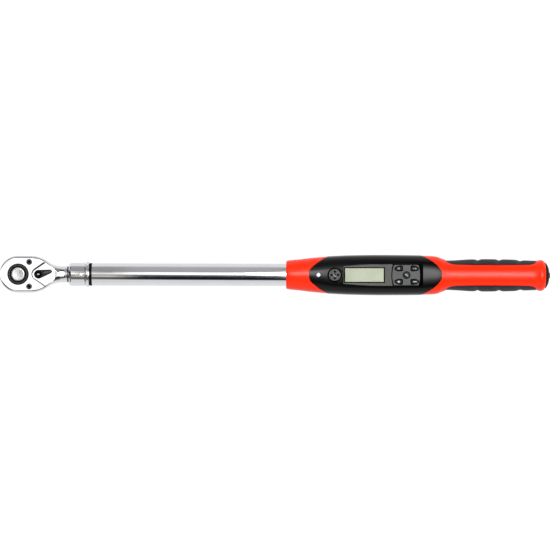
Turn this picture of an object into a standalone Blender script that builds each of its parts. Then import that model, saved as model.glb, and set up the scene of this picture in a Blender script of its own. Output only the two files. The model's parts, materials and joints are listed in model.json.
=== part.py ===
"""Electronic torque wrench with a reversible half-inch ratchet head.

The frame: +X runs from the ratchet head to the battery cap, +Z is the display side, and the origin is the
centre of the square drive's tip face. The tool's long axis is parallel to X, AXIS_Z above that tip.
"""

import math

import bmesh
import bpy
from mathutils import Matrix, Vector

MM = 0.001
GAP = 0.3 * MM
TURN = 2.0 * math.pi
MERGE = 0.01 * MM

# Long axis and ratchet head
AXIS_Z = 29.0 * MM
HEAD_RADIUS = 19.45 * MM
HEAD_NOSE_X = -0.65 * MM
HEAD_CHEEK_END_X = 12.95 * MM
HEAD_HALF_THICKNESS = 13.0 * MM
HEAD_EDGE_RADIUS = 3.4 * MM
HEAD_CONVEX_SHARE = 0.56
HEAD_FALL_START_X = 28.0 * MM
NECK_START_X = 45.0 * MM
NECK_ROUND_X = 49.0 * MM
NECK_RADIUS = 8.6 * MM
NECK_END_X = 51.0 * MM
SHANK_RADIUS = 7.7 * MM
SHANK_END_X = 96.0 * MM
BEAM_HALF_WIDTH = 4.5 * MM
BEAM_HALF_HEIGHT = 7.0 * MM
BEAM_END_X = 124.0 * MM
DECK_Z = AXIS_Z + 10.8 * MM
HEAD_TOP_Z = AXIS_Z + HEAD_HALF_THICKNESS
HEAD_UNDERSIDE_Z = AXIS_Z - HEAD_HALF_THICKNESS
PLATE_INSET = 2.6 * MM

# Square drive, ratchet gear and release button
DRIVE_SQUARE = 12.7 * MM
DRIVE_SQUARE_TOP_Z = 15.4 * MM
GEAR_TEETH = 36
GEAR_ROOT_RADIUS = 13.4 * MM
GEAR_TIP_RADIUS = 14.4 * MM
GEAR_BOTTOM_Z = AXIS_Z - 8.5 * MM
GEAR_TOP_Z = AXIS_Z + 5.5 * MM
GEAR_CAVITY_RADIUS = 15.0 * MM
GEAR_CAVITY_FLOOR_Z = AXIS_Z - 8.8 * MM
HUB_RADIUS = 9.9 * MM
HUB_HOLE_RADIUS = 10.3 * MM
GEAR_SHOULDER_RADIUS = 11.2 * MM
GEAR_SHOULDER_TOP_Z = AXIS_Z + 10.6 * MM
GEAR_COLLAR_RADIUS = 8.4 * MM
GEAR_COLLAR_TOP_Z = AXIS_Z + 14.6 * MM
BUTTON_POCKET_RADIUS = 7.6 * MM
BUTTON_POCKET_FLOOR_Z = AXIS_Z + 8.0 * MM
BUTTON_RADIUS = 7.25 * MM
BUTTON_BOTTOM_Z = AXIS_Z + 12.0 * MM
BUTTON_TOP_Z = AXIS_Z + 15.4 * MM
STEM_RADIUS = 2.6 * MM
STEM_NECK_RADIUS = 1.5 * MM
STEM_BOTTOM_Z = 4.4 * MM
STEM_BORE_RADIUS = 2.9 * MM
STEM_BORE_FLOOR_Z = 1.0 * MM
BALL_RADIUS = 2.2 * MM
BALL_Z = 7.0 * MM
BALL_Y = 4.9 * MM
SPINNER_INNER_RADIUS = 8.7 * MM
SPINNER_RADIUS = 11.2 * MM
SPINNER_BOTTOM_Z = AXIS_Z + 10.9 * MM
SPINNER_TOP_Z = AXIS_Z + 14.9 * MM

# Reversing lever and pawl
LEVER_X = 21.5 * MM
LEVER_REST_TURN = math.radians(14.0)
LEVER_HUB_RADIUS = 4.7 * MM
LEVER_TIP_REACH = 14.8 * MM
LEVER_TIP_RADIUS = 1.9 * MM
LEVER_BOTTOM_Z = DECK_Z + GAP
LEVER_TOP_Z = DECK_Z + 3.0 * MM
LEVER_RIB_TOP_Z = DECK_Z + 4.2 * MM
SPINDLE_RADIUS = 2.6 * MM
SPINDLE_BOTTOM_Z = AXIS_Z - 8.0 * MM
PAWL_PIN_X = 16.2 * MM
PAWL_PIN_RADIUS = 0.7 * MM
PAWL_SWING = math.radians(8.0)
PAWL_HALF_LENGTH = 8.2 * MM
PAWL_BACK_RADIUS = 3.9 * MM
PAWL_BOTTOM_Z = AXIS_Z - 8.2 * MM
PAWL_TOP_Z = AXIS_Z + 5.2 * MM
PLUNGER_RADIUS = 0.9 * MM
PLUNGER_REACH = 3.3 * MM
PLUNGER_Z = AXIS_Z - 1.0 * MM
NOTCH_RADIUS = 6.0 * MM
NOTCH_HALF_ANGLE = math.radians(34.0)
PLATE_SCREW_X = 11.66 * MM
PLATE_SCREW_Y = 12.9 * MM
PLATE_SCREW_RADIUS = 3.05 * MM

# Collar and tube
SEAL_START_X = 51.2 * MM
SEAL_END_X = 52.1 * MM
SEAL_RADIUS = 8.5 * MM
COLLAR_RADIUS = 12.37 * MM
COLLAR_START_X = 52.4 * MM
COLLAR_NOSE = (
    (55.4 * MM, COLLAR_RADIUS),
    (54.1 * MM, 11.9 * MM),
    (53.0 * MM, 10.7 * MM),
    (COLLAR_START_X, 9.2 * MM),
)
COLLAR_BORE_RADIUS = 8.0 * MM
COLLAR_PIN_X = 66.2 * MM
COLLAR_PIN_RADIUS = 1.9 * MM
FLANGE_START_X = 71.4 * MM
FLANGE_END_X = 74.2 * MM
FLANGE_RADIUS = 13.6 * MM
SPIGOT_RADIUS = 9.7 * MM
SPIGOT_END_X = 92.0 * MM
TUBE_START_X = 77.3 * MM
TUBE_END_X = 548.0 * MM
TUBE_RADIUS = 12.0 * MM
TUBE_BORE_RADIUS = 10.0 * MM
CHANNEL_RADIUS = TUBE_RADIUS + GAP

# Housing: x, half width, height above the axis, depth below it, and squareness of the section
BODY_STATIONS = (
    (282.6, 14.6, 14.6, 14.6, 2.0),
    (284.2, 15.2, 15.2, 15.2, 2.0),
    (297.5, 16.7, 16.2, 16.6, 2.1),
    (314.4, 18.6, 17.3, 18.4, 2.3),
    (331.4, 19.8, 18.0, 19.6, 2.5),
    (352.6, 20.8, 18.5, 20.0, 2.6),
    (382.3, 21.2, 18.6, 20.0, 2.6),
    (416.0, 21.0, 18.6, 20.0, 2.6),
    (437.4, 20.4, 18.2, 19.5, 2.4),
    (442.5, 19.8, 17.8, 19.0, 2.3),
    (447.0, 18.0, 17.2, 18.1, 2.2),
    (452.0, 16.4, 16.4, 16.9, 2.1),
    (458.6, 15.5, 15.7, 15.9, 2.0),
    (500.0, 15.2, 15.5, 15.5, 2.0),
    (545.0, 15.2, 15.4, 15.4, 2.0),
    (549.0, 15.7, 15.9, 15.9, 2.0),
    (552.0, 16.4, 16.5, 16.5, 2.0),
    (555.0, 16.0, 16.1, 16.1, 2.0),
    (556.7, 14.9, 15.0, 15.0, 2.0),
)
BODY_POINTS = 24
REST_FLAT_Z = AXIS_Z - 19.2 * MM
COVER_THICKNESS = 2.2 * MM

# Console cover outline in plan: half of the boat shape, from its front tip to its rear tip
BOAT_HALF = (
    (306.9, 0.0),
    (307.3, 3.6),
    (308.9, 7.2),
    (312.6, 10.6),
    (318.8, 15.1),
    (327.0, 19.7),
    (334.0, 23.0),
    (421.0, 23.0),
    (427.8, 19.5),
    (435.8, 15.2),
    (441.0, 10.8),
    (444.8, 6.2),
    (446.1, 2.8),
    (446.4, 0.0),
)

# Display, keypad, buzzer and lamp
BOARD_BOTTOM_Z = AXIS_Z + 12.9 * MM
BOARD_TOP_Z = AXIS_Z + 14.1 * MM
BOARD_START_X = 314.2 * MM
BOARD_STEP_X = 341.5 * MM
BOARD_END_X = 427.0 * MM
BOARD_HALF_WIDTH = 10.2 * MM
BOARD_NARROW_HALF_WIDTH = 6.2 * MM
LAMP_X = 316.6 * MM
LAMP_RADIUS = 2.35 * MM
BUZZER_X = 333.9 * MM
GRILLE_RADIUS = 6.1 * MM
GRILLE_HOLE_RADIUS = 0.9 * MM
GRILLE_HOLE_PITCH = 3.4 * MM
WINDOW_START_X = 344.5 * MM
WINDOW_END_X = 386.3 * MM
WINDOW_HALF_WIDTH = 7.3 * MM
BEZEL_START_X = 343.7 * MM
BEZEL_END_X = 395.3 * MM
BEZEL_WAIST = 2.0 * MM
PANEL_TOP_Z = AXIS_Z + 18.3 * MM
PANEL_BOTTOM_Z = AXIS_Z + 16.9 * MM
PANEL_START_HALF_WIDTH = 9.3 * MM
PANEL_HALF_WIDTH = 11.3 * MM
PANEL_WIDE_X = 385.0 * MM
KEYPAD_END_X = 423.5 * MM
OPENING_END_X = 426.6 * MM
KEY_BOTTOM_Z = AXIS_Z + 15.3 * MM
KEY_TOP_Z = AXIS_Z + 18.9 * MM
CENTRE_KEY_X = 409.3 * MM
CENTRE_KEY_RADIUS = 3.6 * MM
CORNER_KEY_X = (401.5 * MM, 417.8 * MM)
CORNER_KEY_Y = 6.9 * MM
CORNER_KEY_LENGTH = 8.2 * MM
CORNER_KEY_WIDTH = 5.2 * MM

# Grip pads: half width of the rubber at stations along the grip
PAD_STATIONS = (
    (446.0, 15.4),
    (458.0, 15.7),
    (467.0, 16.1),
    (475.6, 16.7),
    (480.2, 16.6),
    (484.0, 15.9),
    (488.3, 16.9),
    (497.0, 17.2),
    (501.5, 17.0),
    (505.4, 16.1),
    (510.0, 16.8),
    (518.0, 16.8),
    (523.5, 16.3),
    (528.5, 15.4),
    (535.0, 15.9),
    (543.4, 15.4),
    (549.0, 15.4),
)
PAD_HALF = (
    (449.8, 17.5),
    (454.6, 12.6),
    (460.0, 11.5),
    (541.0, 11.5),
    (545.0, 12.6),
    (547.6, 15.0),
    (547.8, 21.0),
    (449.8, 21.0),
)
PAD_CORE_RADIUS = 13.4 * MM

# Batteries and their cap
SLEEVE_START_X = 443.0 * MM
SLEEVE_END_X = 547.0 * MM
SLEEVE_RADIUS = 9.6 * MM
SLEEVE_BORE_RADIUS = 7.5 * MM
CELL_RADIUS = 7.15 * MM
CELL_LENGTH = 47.5 * MM
CELL_NUB_LENGTH = 1.6 * MM
CELL_START_X = 446.0 * MM
CELL_PITCH = CELL_LENGTH + CELL_NUB_LENGTH + GAP
CAP_START_X = 549.0 * MM
CAP_FACE_X = 557.1 * MM
CAP_END_X = 562.2 * MM
CAP_RADIUS = 13.6 * MM
CAP_NUB_RADIUS = 2.9 * MM
CAP_DOME = (
    (561.3 * MM, CAP_NUB_RADIUS),
    (561.1 * MM, 5.2 * MM),
    (560.6 * MM, 7.8 * MM),
    (559.7 * MM, 10.3 * MM),
    (558.4 * MM, 12.5 * MM),
    (557.4 * MM, CAP_RADIUS),
)
COIN_SLOT_X = 560.2 * MM
CAP_PLUG_RADIUS = 11.9 * MM
CAP_BORE_RADIUS = 8.6 * MM
CAP_BORE_END_X = 555.0 * MM
CAP_GROOVE_X = 553.0 * MM

# Housing screws: x and distance from the centre line
HOUSING_SCREWS = ((300.0 * MM, 14.7 * MM), (433.0 * MM, 16.4 * MM))

# Leads: points chosen by hand along each route
GAUGE_CABLE_ROUTE = (
    (114.8, 6.0, 0.0),
    (124.0, 6.2, -1.5),
    (140.0, 4.0, -6.0),
    (165.0, 0.0, -8.3),
    (240.0, 0.0, -8.4),
    (315.0, 0.0, -8.4),
    (336.0, 0.0, -7.6),
    (349.0, 0.0, -1.0),
    (354.5, 0.0, 6.0),
    (356.0, 0.0, 12.5),
)
GAUGE_CABLE_RADIUS = 1.0 * MM
BATTERY_LEAD_ROUTE = (
    (441.6, 0.0, 0.0),
    (437.0, 0.0, 0.6),
    (431.0, 0.0, 5.0),
    (425.5, 0.0, 9.0),
    (424.0, 0.0, 12.5),
)
BATTERY_LEAD_RADIUS = 1.0 * MM

FINISHES = {
    "chrome": ((0.80, 0.80, 0.81), 0.12, 1.0),
    "dark_steel": ((0.09, 0.09, 0.10), 0.35, 1.0),
    "spring_steel": ((0.55, 0.56, 0.58), 0.3, 1.0),
    "brass": ((0.78, 0.60, 0.28), 0.3, 1.0),
    "red_plastic": ((0.90, 0.055, 0.025), 0.4, 0.0),
    "black_plastic": ((0.018, 0.018, 0.02), 0.4, 0.0),
    "black_rubber": ((0.03, 0.03, 0.033), 0.7, 0.0),
    "grey_plastic": ((0.19, 0.19, 0.18), 0.45, 0.0),
    "keypad_grey": ((0.13, 0.135, 0.14), 0.5, 0.0),
    "lcd_green": ((0.68, 0.74, 0.60), 0.3, 0.0),
    "clear_pane": ((0.85, 0.90, 0.85), 0.05, 0.0),
    "board_green": ((0.03, 0.16, 0.07), 0.5, 0.0),
    "lamp_white": ((0.90, 0.90, 0.92), 0.15, 0.0),
    "cell_jacket": ((0.10, 0.20, 0.32), 0.35, 0.0),
    "gauge_film": ((0.75, 0.42, 0.10), 0.4, 0.0),
    "lead_grey": ((0.35, 0.35, 0.36), 0.5, 0.0),
}


def clear_scene():
    """Removes every object, so that the model starts from an empty scene."""
    for obj in list(bpy.data.objects):
        bpy.data.objects.remove(obj)


def make_collection(name):
    """A new collection under the scene's own."""
    collection = bpy.data.collections.new(name)
    bpy.context.scene.collection.children.link(collection)
    return collection


def add_material(obj, finish):
    """Gives the object a Principled material of its own."""
    colour, roughness, metallic = FINISHES[finish]
    material = bpy.data.materials.new(obj.name + "_" + finish)
    material.use_nodes = True
    shader = material.node_tree.nodes["Principled BSDF"]
    shader.inputs["Base Color"].default_value = (*colour, 1.0)
    shader.inputs["Roughness"].default_value = roughness
    shader.inputs["Metallic"].default_value = metallic
    material.diffuse_color = (*colour, 1.0)
    obj.data.materials.append(material)


def add_object(name, data, finish):
    """Links an object as a part, or as a cutter where it has no finish."""
    obj = bpy.data.objects.new(name, data)
    if finish is None:
        CUTTERS.objects.link(obj)
        obj.hide_render = True
        obj.display_type = "WIRE"
    else:
        PARTS.objects.link(obj)
        add_material(obj, finish)
    return obj


def object_from_bmesh(name, finish, bm):
    """Turns a bmesh into a smooth-shaded object."""
    mesh = bpy.data.meshes.new(name)
    bm.normal_update()
    bm.to_mesh(mesh)
    bm.free()
    mesh.shade_smooth()
    mesh.set_sharp_from_angle(angle=math.radians(30.0))
    return add_object(name, mesh, finish)


def box(name, finish, low, high):
    """A box between two opposite corners, with its origin at its centre."""
    low = Vector(low)
    high = Vector(high)
    bm = bmesh.new()
    bmesh.ops.create_cube(bm, size=1.0, matrix=Matrix.Diagonal((*(high - low), 1.0)))
    obj = object_from_bmesh(name, finish, bm)
    obj.location = (low + high) / 2.0
    return obj


def cylinder(name, finish, start, end, radius, segments=32, end_radius=None):
    """A cylinder or cone between two points, with its origin halfway."""
    start = Vector(start)
    end = Vector(end)
    bm = bmesh.new()
    bmesh.ops.create_cone(
        bm,
        cap_ends=True,
        segments=segments,
        radius1=radius,
        radius2=radius if end_radius is None else end_radius,
        depth=(end - start).length,
    )
    obj = object_from_bmesh(name, finish, bm)
    obj.rotation_euler = (end - start).to_track_quat("Z", "Y").to_euler()
    obj.location = (start + end) / 2.0
    return obj


def turned(name, finish, profile, closed=False, steps=28, along_x=False):
    """A profile of (height, radius) points, from top to bottom on its outer side, turned about its axis.

    The axis is the drive's vertical axis, or the tool's long axis where along_x is set.
    """
    bm = bmesh.new()
    verts = [bm.verts.new((radius, 0.0, height)) for height, radius in profile]
    for first, second in zip(verts, verts[1:]):
        bm.edges.new((first, second))
    if closed:
        bm.edges.new((verts[-1], verts[0]))
    mesh = bpy.data.meshes.new(name)
    bm.to_mesh(mesh)
    bm.free()
    obj = add_object(name, mesh, finish)
    screw = obj.modifiers.new("Turn", "SCREW")
    screw.steps = steps
    screw.render_steps = steps
    screw.use_merge_vertices = True
    screw.merge_threshold = MERGE
    screw.use_smooth_shade = True
    if along_x:
        obj.rotation_euler = (0.0, math.radians(90.0), 0.0)
        obj.location = (0.0, 0.0, AXIS_Z)
    return obj


def curve_to_mesh(curve_object, finish):
    """Replaces a curve by a mesh of the same name and place, with its caps welded."""
    name = curve_object.name
    bpy.context.view_layer.update()
    graph = bpy.context.evaluated_depsgraph_get()
    mesh = bpy.data.meshes.new_from_object(curve_object.evaluated_get(graph), depsgraph=graph)
    matrix = curve_object.matrix_world.copy()
    curve = curve_object.data
    bpy.data.objects.remove(curve_object)
    bpy.data.curves.remove(curve)
    bm = bmesh.new()
    bm.from_mesh(mesh)
    bmesh.ops.remove_doubles(bm, verts=bm.verts, dist=MERGE)
    bm.to_mesh(mesh)
    bm.free()
    mesh.materials.clear()
    obj = add_object(name, mesh, finish)
    obj.matrix_world = matrix
    return obj


def plate(name, finish, outline, bottom, top, pivot=(0.0, 0.0)):
    """A flat plate of a plan outline between two heights, with its origin at the pivot's x and y."""
    curve = bpy.data.curves.new(name, "CURVE")
    curve.dimensions = "2D"
    curve.fill_mode = "BOTH"
    curve.extrude = (top - bottom) / 2.0
    spline = curve.splines.new("POLY")
    spline.points.add(len(outline) - 1)
    for point, (x, y) in zip(spline.points, outline):
        point.co = (x - pivot[0], y - pivot[1], 0.0, 1.0)
    spline.use_cyclic_u = True
    obj = add_object(name, curve, None)
    obj.location = (pivot[0], pivot[1], (bottom + top) / 2.0)
    return curve_to_mesh(obj, finish)


def loft(name, finish, sections):
    """A closed body through rings of points that all have the same count, capped at both ends."""
    bm = bmesh.new()
    rings = [[bm.verts.new(point) for point in section] for section in sections]
    count = len(rings[0])
    for near, far in zip(rings, rings[1:]):
        for i in range(count):
            j = (i + 1) % count
            bm.faces.new((near[i], near[j], far[j], far[i]))
    bm.faces.new(rings[0])
    bm.faces.new(rings[-1])
    bmesh.ops.recalc_face_normals(bm, faces=bm.faces)
    return object_from_bmesh(name, finish, bm)


def boolean(obj, cutter, operation="DIFFERENCE"):
    """Adds a Boolean modifier with the exact solver."""
    modifier = obj.modifiers.new(operation.title() + " " + cutter.name, "BOOLEAN")
    modifier.operation = operation
    modifier.solver = "EXACT"
    modifier.object = cutter
    return obj


def arc(centre, radius, start, end, count):
    """Points on an arc in plan, both ends included; the angles are in radians."""
    angles = [start + (end - start) * i / (count - 1) for i in range(count)]
    return [(centre[0] + radius * math.cos(a), centre[1] + radius * math.sin(a)) for a in angles]


def mirrored(half):
    """A closed outline from its half at positive y, which starts and ends on or near the centre line."""
    return list(half) + [(x, -y) for x, y in reversed(half) if y > MERGE]


def smooth_route(points, spacing):
    """Points at about the given spacing on a Catmull-Rom curve through the route's own points."""
    points = [Vector(p) * MM + Vector((0.0, 0.0, AXIS_Z)) for p in points]
    padded = [2 * points[0] - points[1]] + points + [2 * points[-1] - points[-2]]
    route = []
    for a, b, c, d in zip(padded, padded[1:], padded[2:], padded[3:]):
        steps = max(2, round((c - b).length / spacing))
        for i in range(steps):
            t = i / steps
            route.append(0.5 * (2 * b + (c - a) * t + (2 * a - 5 * b + 4 * c - d) * t * t
                                + (3 * b - a - 3 * c + d) * t ** 3))
    route.append(points[-1])
    return route


def wire(name, finish, points, radius):
    """A round wire or lead along straight stretches between close points."""
    curve = bpy.data.curves.new(name, "CURVE")
    curve.dimensions = "3D"
    curve.bevel_depth = radius
    curve.bevel_resolution = 2
    curve.use_fill_caps = True
    spline = curve.splines.new("POLY")
    spline.points.add(len(points) - 1)
    for point, place in zip(spline.points, points):
        point.co = (*place, 1.0)
    return add_object(name, curve, finish)


def coil_points(centre, direction, length, radius, turns, points_a_turn=8):
    """Points of a helix that starts at centre and runs along a direction."""
    centre = Vector(centre)
    turn_to = Vector(direction).to_track_quat("Z", "Y")
    count = round(turns * points_a_turn)
    places = []
    for i in range(count + 1):
        angle = TURN * turns * i / count
        local = Vector((radius * math.cos(angle), radius * math.sin(angle), length * i / count))
        places.append(centre + turn_to @ local)
    return places


def head_half_width(x):
    """Half the head's plan width: round nose, straight cheek, convex then concave shoulder, round neck."""
    drop = HEAD_RADIUS - NECK_RADIUS
    run = NECK_START_X - HEAD_CHEEK_END_X
    slope = 2.0 * math.atan2(drop, run)
    both_radii = run / math.sin(slope)
    convex = both_radii * HEAD_CONVEX_SHARE
    concave = both_radii - convex
    if x < HEAD_NOSE_X:
        return math.sqrt(HEAD_RADIUS ** 2 - (x - HEAD_NOSE_X) ** 2)
    if x < HEAD_CHEEK_END_X:
        return HEAD_RADIUS
    if x < HEAD_CHEEK_END_X + convex * math.sin(slope):
        return HEAD_RADIUS - convex + math.sqrt(convex ** 2 - (x - HEAD_CHEEK_END_X) ** 2)
    if x < NECK_START_X:
        return NECK_RADIUS + concave - math.sqrt(concave ** 2 - (NECK_START_X - x) ** 2)
    return NECK_RADIUS


def head_fall(x):
    """How far the head has fallen from its full thickness to the round neck, from 0 to 1."""
    share = (x - HEAD_FALL_START_X) / (NECK_ROUND_X - HEAD_FALL_START_X)
    return 0.5 - 0.5 * math.cos(math.pi * min(max(share, 0.0), 1.0))


def rounded_section(x, half_width, half_height, corner, points_a_corner=5):
    """A rounded rectangle across the long axis; a circle where the corner radius fills it."""
    corner = min(corner, half_width, half_height)
    section = []
    for index, (side_y, side_z) in enumerate(((1, 1), (-1, 1), (-1, -1), (1, -1))):
        centre_y = side_y * (half_width - corner)
        centre_z = side_z * (half_height - corner)
        for step in range(points_a_corner):
            angle = math.radians(90.0) * (index + step / (points_a_corner - 1))
            y = centre_y + corner * math.cos(angle)
            z = AXIS_Z + centre_z + corner * math.sin(angle)
            section.append((x, y, z))
    return spread_apart(section)


def spread_apart(section):
    """Keeps the points of a section distinct where its straight sides have no length."""
    spread = []
    for index, (x, y, z) in enumerate(section):
        previous = Vector(section[index - 1])
        if (Vector((x, y, z)) - previous).length < MERGE:
            following = Vector(section[(index + 1) % len(section)])
            x, y, z = Vector((x, y, z)).lerp(following, 0.3)
        spread.append((x, y, z))
    return spread


def head_sections():
    """Sections of the head forging, from the nose through the neck and shank to the beam's end."""
    nose_angles = [math.radians(a) for a in (6, 20, 34, 48, 62, 76)]
    places = [HEAD_NOSE_X - HEAD_RADIUS * math.cos(a) for a in nose_angles]
    places += [HEAD_NOSE_X, HEAD_CHEEK_END_X]
    places += [x * MM for x in (18.0, 23.0, 28.0, 32.0, 36.0, 40.0, 44.5)]
    places += [NECK_ROUND_X, NECK_END_X]
    sections = []
    for x in places:
        fall = head_fall(x)
        half_height = HEAD_HALF_THICKNESS + (NECK_RADIUS - HEAD_HALF_THICKNESS) * fall
        corner = HEAD_EDGE_RADIUS + (NECK_RADIUS - HEAD_EDGE_RADIUS) * fall
        sections.append(rounded_section(x, head_half_width(x), half_height, corner))
    sections.append(rounded_section(NECK_END_X, SHANK_RADIUS, SHANK_RADIUS, SHANK_RADIUS))
    sections.append(rounded_section(SHANK_END_X, SHANK_RADIUS, SHANK_RADIUS, SHANK_RADIUS))
    for x in (SHANK_END_X, BEAM_END_X):
        sections.append(rounded_section(x, BEAM_HALF_WIDTH, BEAM_HALF_HEIGHT, 1.0 * MM))
    return sections


def head_outline(inset, end_x):
    """The head's plan outline, moved inwards, from the nose to a straight edge at end_x."""
    radius = HEAD_RADIUS - inset
    half = arc((HEAD_NOSE_X, 0.0), radius, math.pi, math.radians(90.0), 10)
    x = HEAD_CHEEK_END_X
    while x < end_x:
        half.append((x, head_half_width(x) - inset))
        x += 4.0 * MM
    half.append((end_x, head_half_width(end_x) - inset))
    return mirrored(half)


def build_head_body():
    """The forged head with its neck, shank and sensing beam in one piece."""
    head = loft("head_body", "chrome", head_sections())
    pocket = plate("cut_plate_pocket", None, head_outline(PLATE_INSET, 44.0 * MM), DECK_Z, HEAD_TOP_Z + GAP)
    boolean(head, pocket)
    gear_room = cylinder("cut_gear_room", None, (0, 0, GEAR_CAVITY_FLOOR_Z), (0, 0, HEAD_TOP_Z),
                         GEAR_CAVITY_RADIUS, 36)
    boolean(head, gear_room)
    hub_hole = cylinder("cut_hub_hole", None, (0, 0, HEAD_UNDERSIDE_Z - GAP), (0, 0, AXIS_Z),
                        HUB_HOLE_RADIUS, 32)
    boolean(head, hub_hole)
    pawl_room = box("cut_pawl_room", None, (10.0 * MM, -9.6 * MM, GEAR_CAVITY_FLOOR_Z),
                    (19.4 * MM, 9.6 * MM, AXIS_Z + 5.8 * MM))
    boolean(head, pawl_room)
    spindle_room = cylinder("cut_spindle_room", None, (LEVER_X, 0, GEAR_CAVITY_FLOOR_Z),
                            (LEVER_X, 0, HEAD_TOP_Z), SPINDLE_RADIUS + GAP, 32)
    boolean(head, spindle_room)
    for side in (1, -1):
        screw_hole = cylinder("cut_plate_screw_hole_%d" % (side + 2), None,
                              (PLATE_SCREW_X, side * PLATE_SCREW_Y, AXIS_Z + 1.0 * MM),
                              (PLATE_SCREW_X, side * PLATE_SCREW_Y, HEAD_TOP_Z), 1.7 * MM, 16)
        boolean(head, screw_hole)
    boolean(head, bpy.data.objects["cut_collar_pin_hole"])
    return head


def build_cover_plate():
    """The plate over the ratchet, with its notch for the lever and holes for the ring and two screws."""
    bottom = DECK_Z + 0.05 * MM
    cover = plate("cover_plate", "chrome", head_outline(PLATE_INSET + GAP, 30.5 * MM), bottom,
                  HEAD_TOP_Z - 0.05 * MM)
    tangent = math.radians(90.0) + NOTCH_HALF_ANGLE
    reach = 24.0 * MM
    front = arc((LEVER_X, 0.0), NOTCH_RADIUS, tangent, TURN - tangent, 13)
    along = (math.cos(NOTCH_HALF_ANGLE) * reach, math.sin(NOTCH_HALF_ANGLE) * reach)
    outline = [(front[0][0] + along[0], front[0][1] + along[1])] + front
    outline += [(front[-1][0] + along[0], front[-1][1] - along[1])]
    notch = plate("cut_lever_notch", None, outline, DECK_Z - GAP, HEAD_TOP_Z + GAP)
    boolean(cover, notch)
    ring_hole = cylinder("cut_ring_hole", None, (0, 0, DECK_Z - GAP), (0, 0, HEAD_TOP_Z + GAP),
                         SPINNER_RADIUS + GAP, 32)
    boolean(cover, ring_hole)
    for side in (1, -1):
        place = (PLATE_SCREW_X, side * PLATE_SCREW_Y)
        seat = cylinder("cut_plate_screw_seat_%d" % (side + 2), None, (*place, DECK_Z - GAP),
                        (*place, HEAD_TOP_Z), 1.9 * MM, 24, PLATE_SCREW_RADIUS + GAP)
        boolean(cover, seat)
    return cover


def build_plate_screws():
    """Two countersunk screws with hexagon sockets that hold the cover plate."""
    for index, side in enumerate((1, -1)):
        place = (PLATE_SCREW_X, side * PLATE_SCREW_Y)
        head_bottom = DECK_Z + 0.4 * MM
        head_top = HEAD_TOP_Z - 0.15 * MM
        profile = (
            (head_top, 0.0),
            (head_top, PLATE_SCREW_RADIUS),
            (head_top - 0.3 * MM, PLATE_SCREW_RADIUS - 0.05 * MM),
            (head_bottom, 1.4 * MM),
            (AXIS_Z + 1.8 * MM, 1.4 * MM),
            (AXIS_Z + 1.3 * MM, 1.0 * MM),
            (AXIS_Z + 1.3 * MM, 0.0),
        )
        screw = turned("plate_screw_%d" % (index + 1), "dark_steel", profile, steps=16)
        screw.location = (*place, 0.0)
        socket = cylinder("cut_plate_screw_socket_%d" % (index + 1), None, (*place, head_top - 1.3 * MM),
                          (*place, head_top + GAP), 1.25 * MM, 6)
        boolean(screw, socket)


def gear_outline(offset=0.0):
    """The ratchet gear's teeth in plan: one tooth gap lies on +X."""
    points = []
    for i in range(2 * GEAR_TEETH):
        angle = TURN * i / (2 * GEAR_TEETH)
        radius = (GEAR_TIP_RADIUS if i % 2 else GEAR_ROOT_RADIUS) + offset
        points.append((radius * math.cos(angle), radius * math.sin(angle)))
    return points


def build_drive_gear():
    """The ratchet gear with its hub, square drive, top collar, stem bore and ball bore."""
    gear = plate("drive_gear", "dark_steel", gear_outline(), GEAR_BOTTOM_Z, GEAR_TOP_Z)
    core = turned(
        "add_gear_core", None,
        (
            (GEAR_COLLAR_TOP_Z, 0.0),
            (GEAR_COLLAR_TOP_Z, GEAR_COLLAR_RADIUS),
            (GEAR_SHOULDER_TOP_Z, GEAR_COLLAR_RADIUS),
            (GEAR_SHOULDER_TOP_Z, GEAR_SHOULDER_RADIUS),
            (GEAR_TOP_Z - 1.0 * MM, GEAR_SHOULDER_RADIUS),
            (GEAR_TOP_Z - 1.0 * MM, HUB_RADIUS),
            (HEAD_UNDERSIDE_Z - 0.4 * MM, HUB_RADIUS),
            (DRIVE_SQUARE_TOP_Z, HUB_RADIUS - 0.4 * MM),
            (DRIVE_SQUARE_TOP_Z, 0.0),
        ),
    )
    boolean(gear, core, "UNION")
    half = DRIVE_SQUARE / 2.0
    square = box("add_drive_square", None, (-half, -half, 0.0), (half, half, AXIS_Z - 6.0 * MM))
    bevel = square.modifiers.new("Edges", "BEVEL")
    bevel.width = 0.8 * MM
    bevel.segments = 1
    boolean(gear, square, "UNION")
    bore = turned(
        "cut_stem_bore", None,
        (
            (BUTTON_TOP_Z + GAP, 0.0),
            (BUTTON_TOP_Z + GAP, BUTTON_POCKET_RADIUS),
            (BUTTON_POCKET_FLOOR_Z, BUTTON_POCKET_RADIUS),
            (BUTTON_POCKET_FLOOR_Z, STEM_BORE_RADIUS),
            (STEM_BORE_FLOOR_Z, STEM_BORE_RADIUS),
            (STEM_BORE_FLOOR_Z, 0.0),
        ),
        steps=20,
    )
    boolean(gear, bore)
    ball_bore = cylinder("cut_ball_bore", None, (0, 1.0 * MM, BALL_Z), (0, half + GAP, BALL_Z),
                         BALL_RADIUS + GAP, 20)
    boolean(gear, ball_bore)


def build_spinner_ring():
    """The finger ring that turns with the gear."""
    chamfer = 0.6 * MM
    profile = (
        (SPINNER_TOP_Z, SPINNER_INNER_RADIUS),
        (SPINNER_TOP_Z, SPINNER_RADIUS - chamfer),
        (SPINNER_TOP_Z - chamfer, SPINNER_RADIUS),
        (SPINNER_BOTTOM_Z, SPINNER_RADIUS),
        (SPINNER_BOTTOM_Z, SPINNER_INNER_RADIUS),
    )
    turned("spinner_ring", "dark_steel", profile, closed=True)


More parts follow.
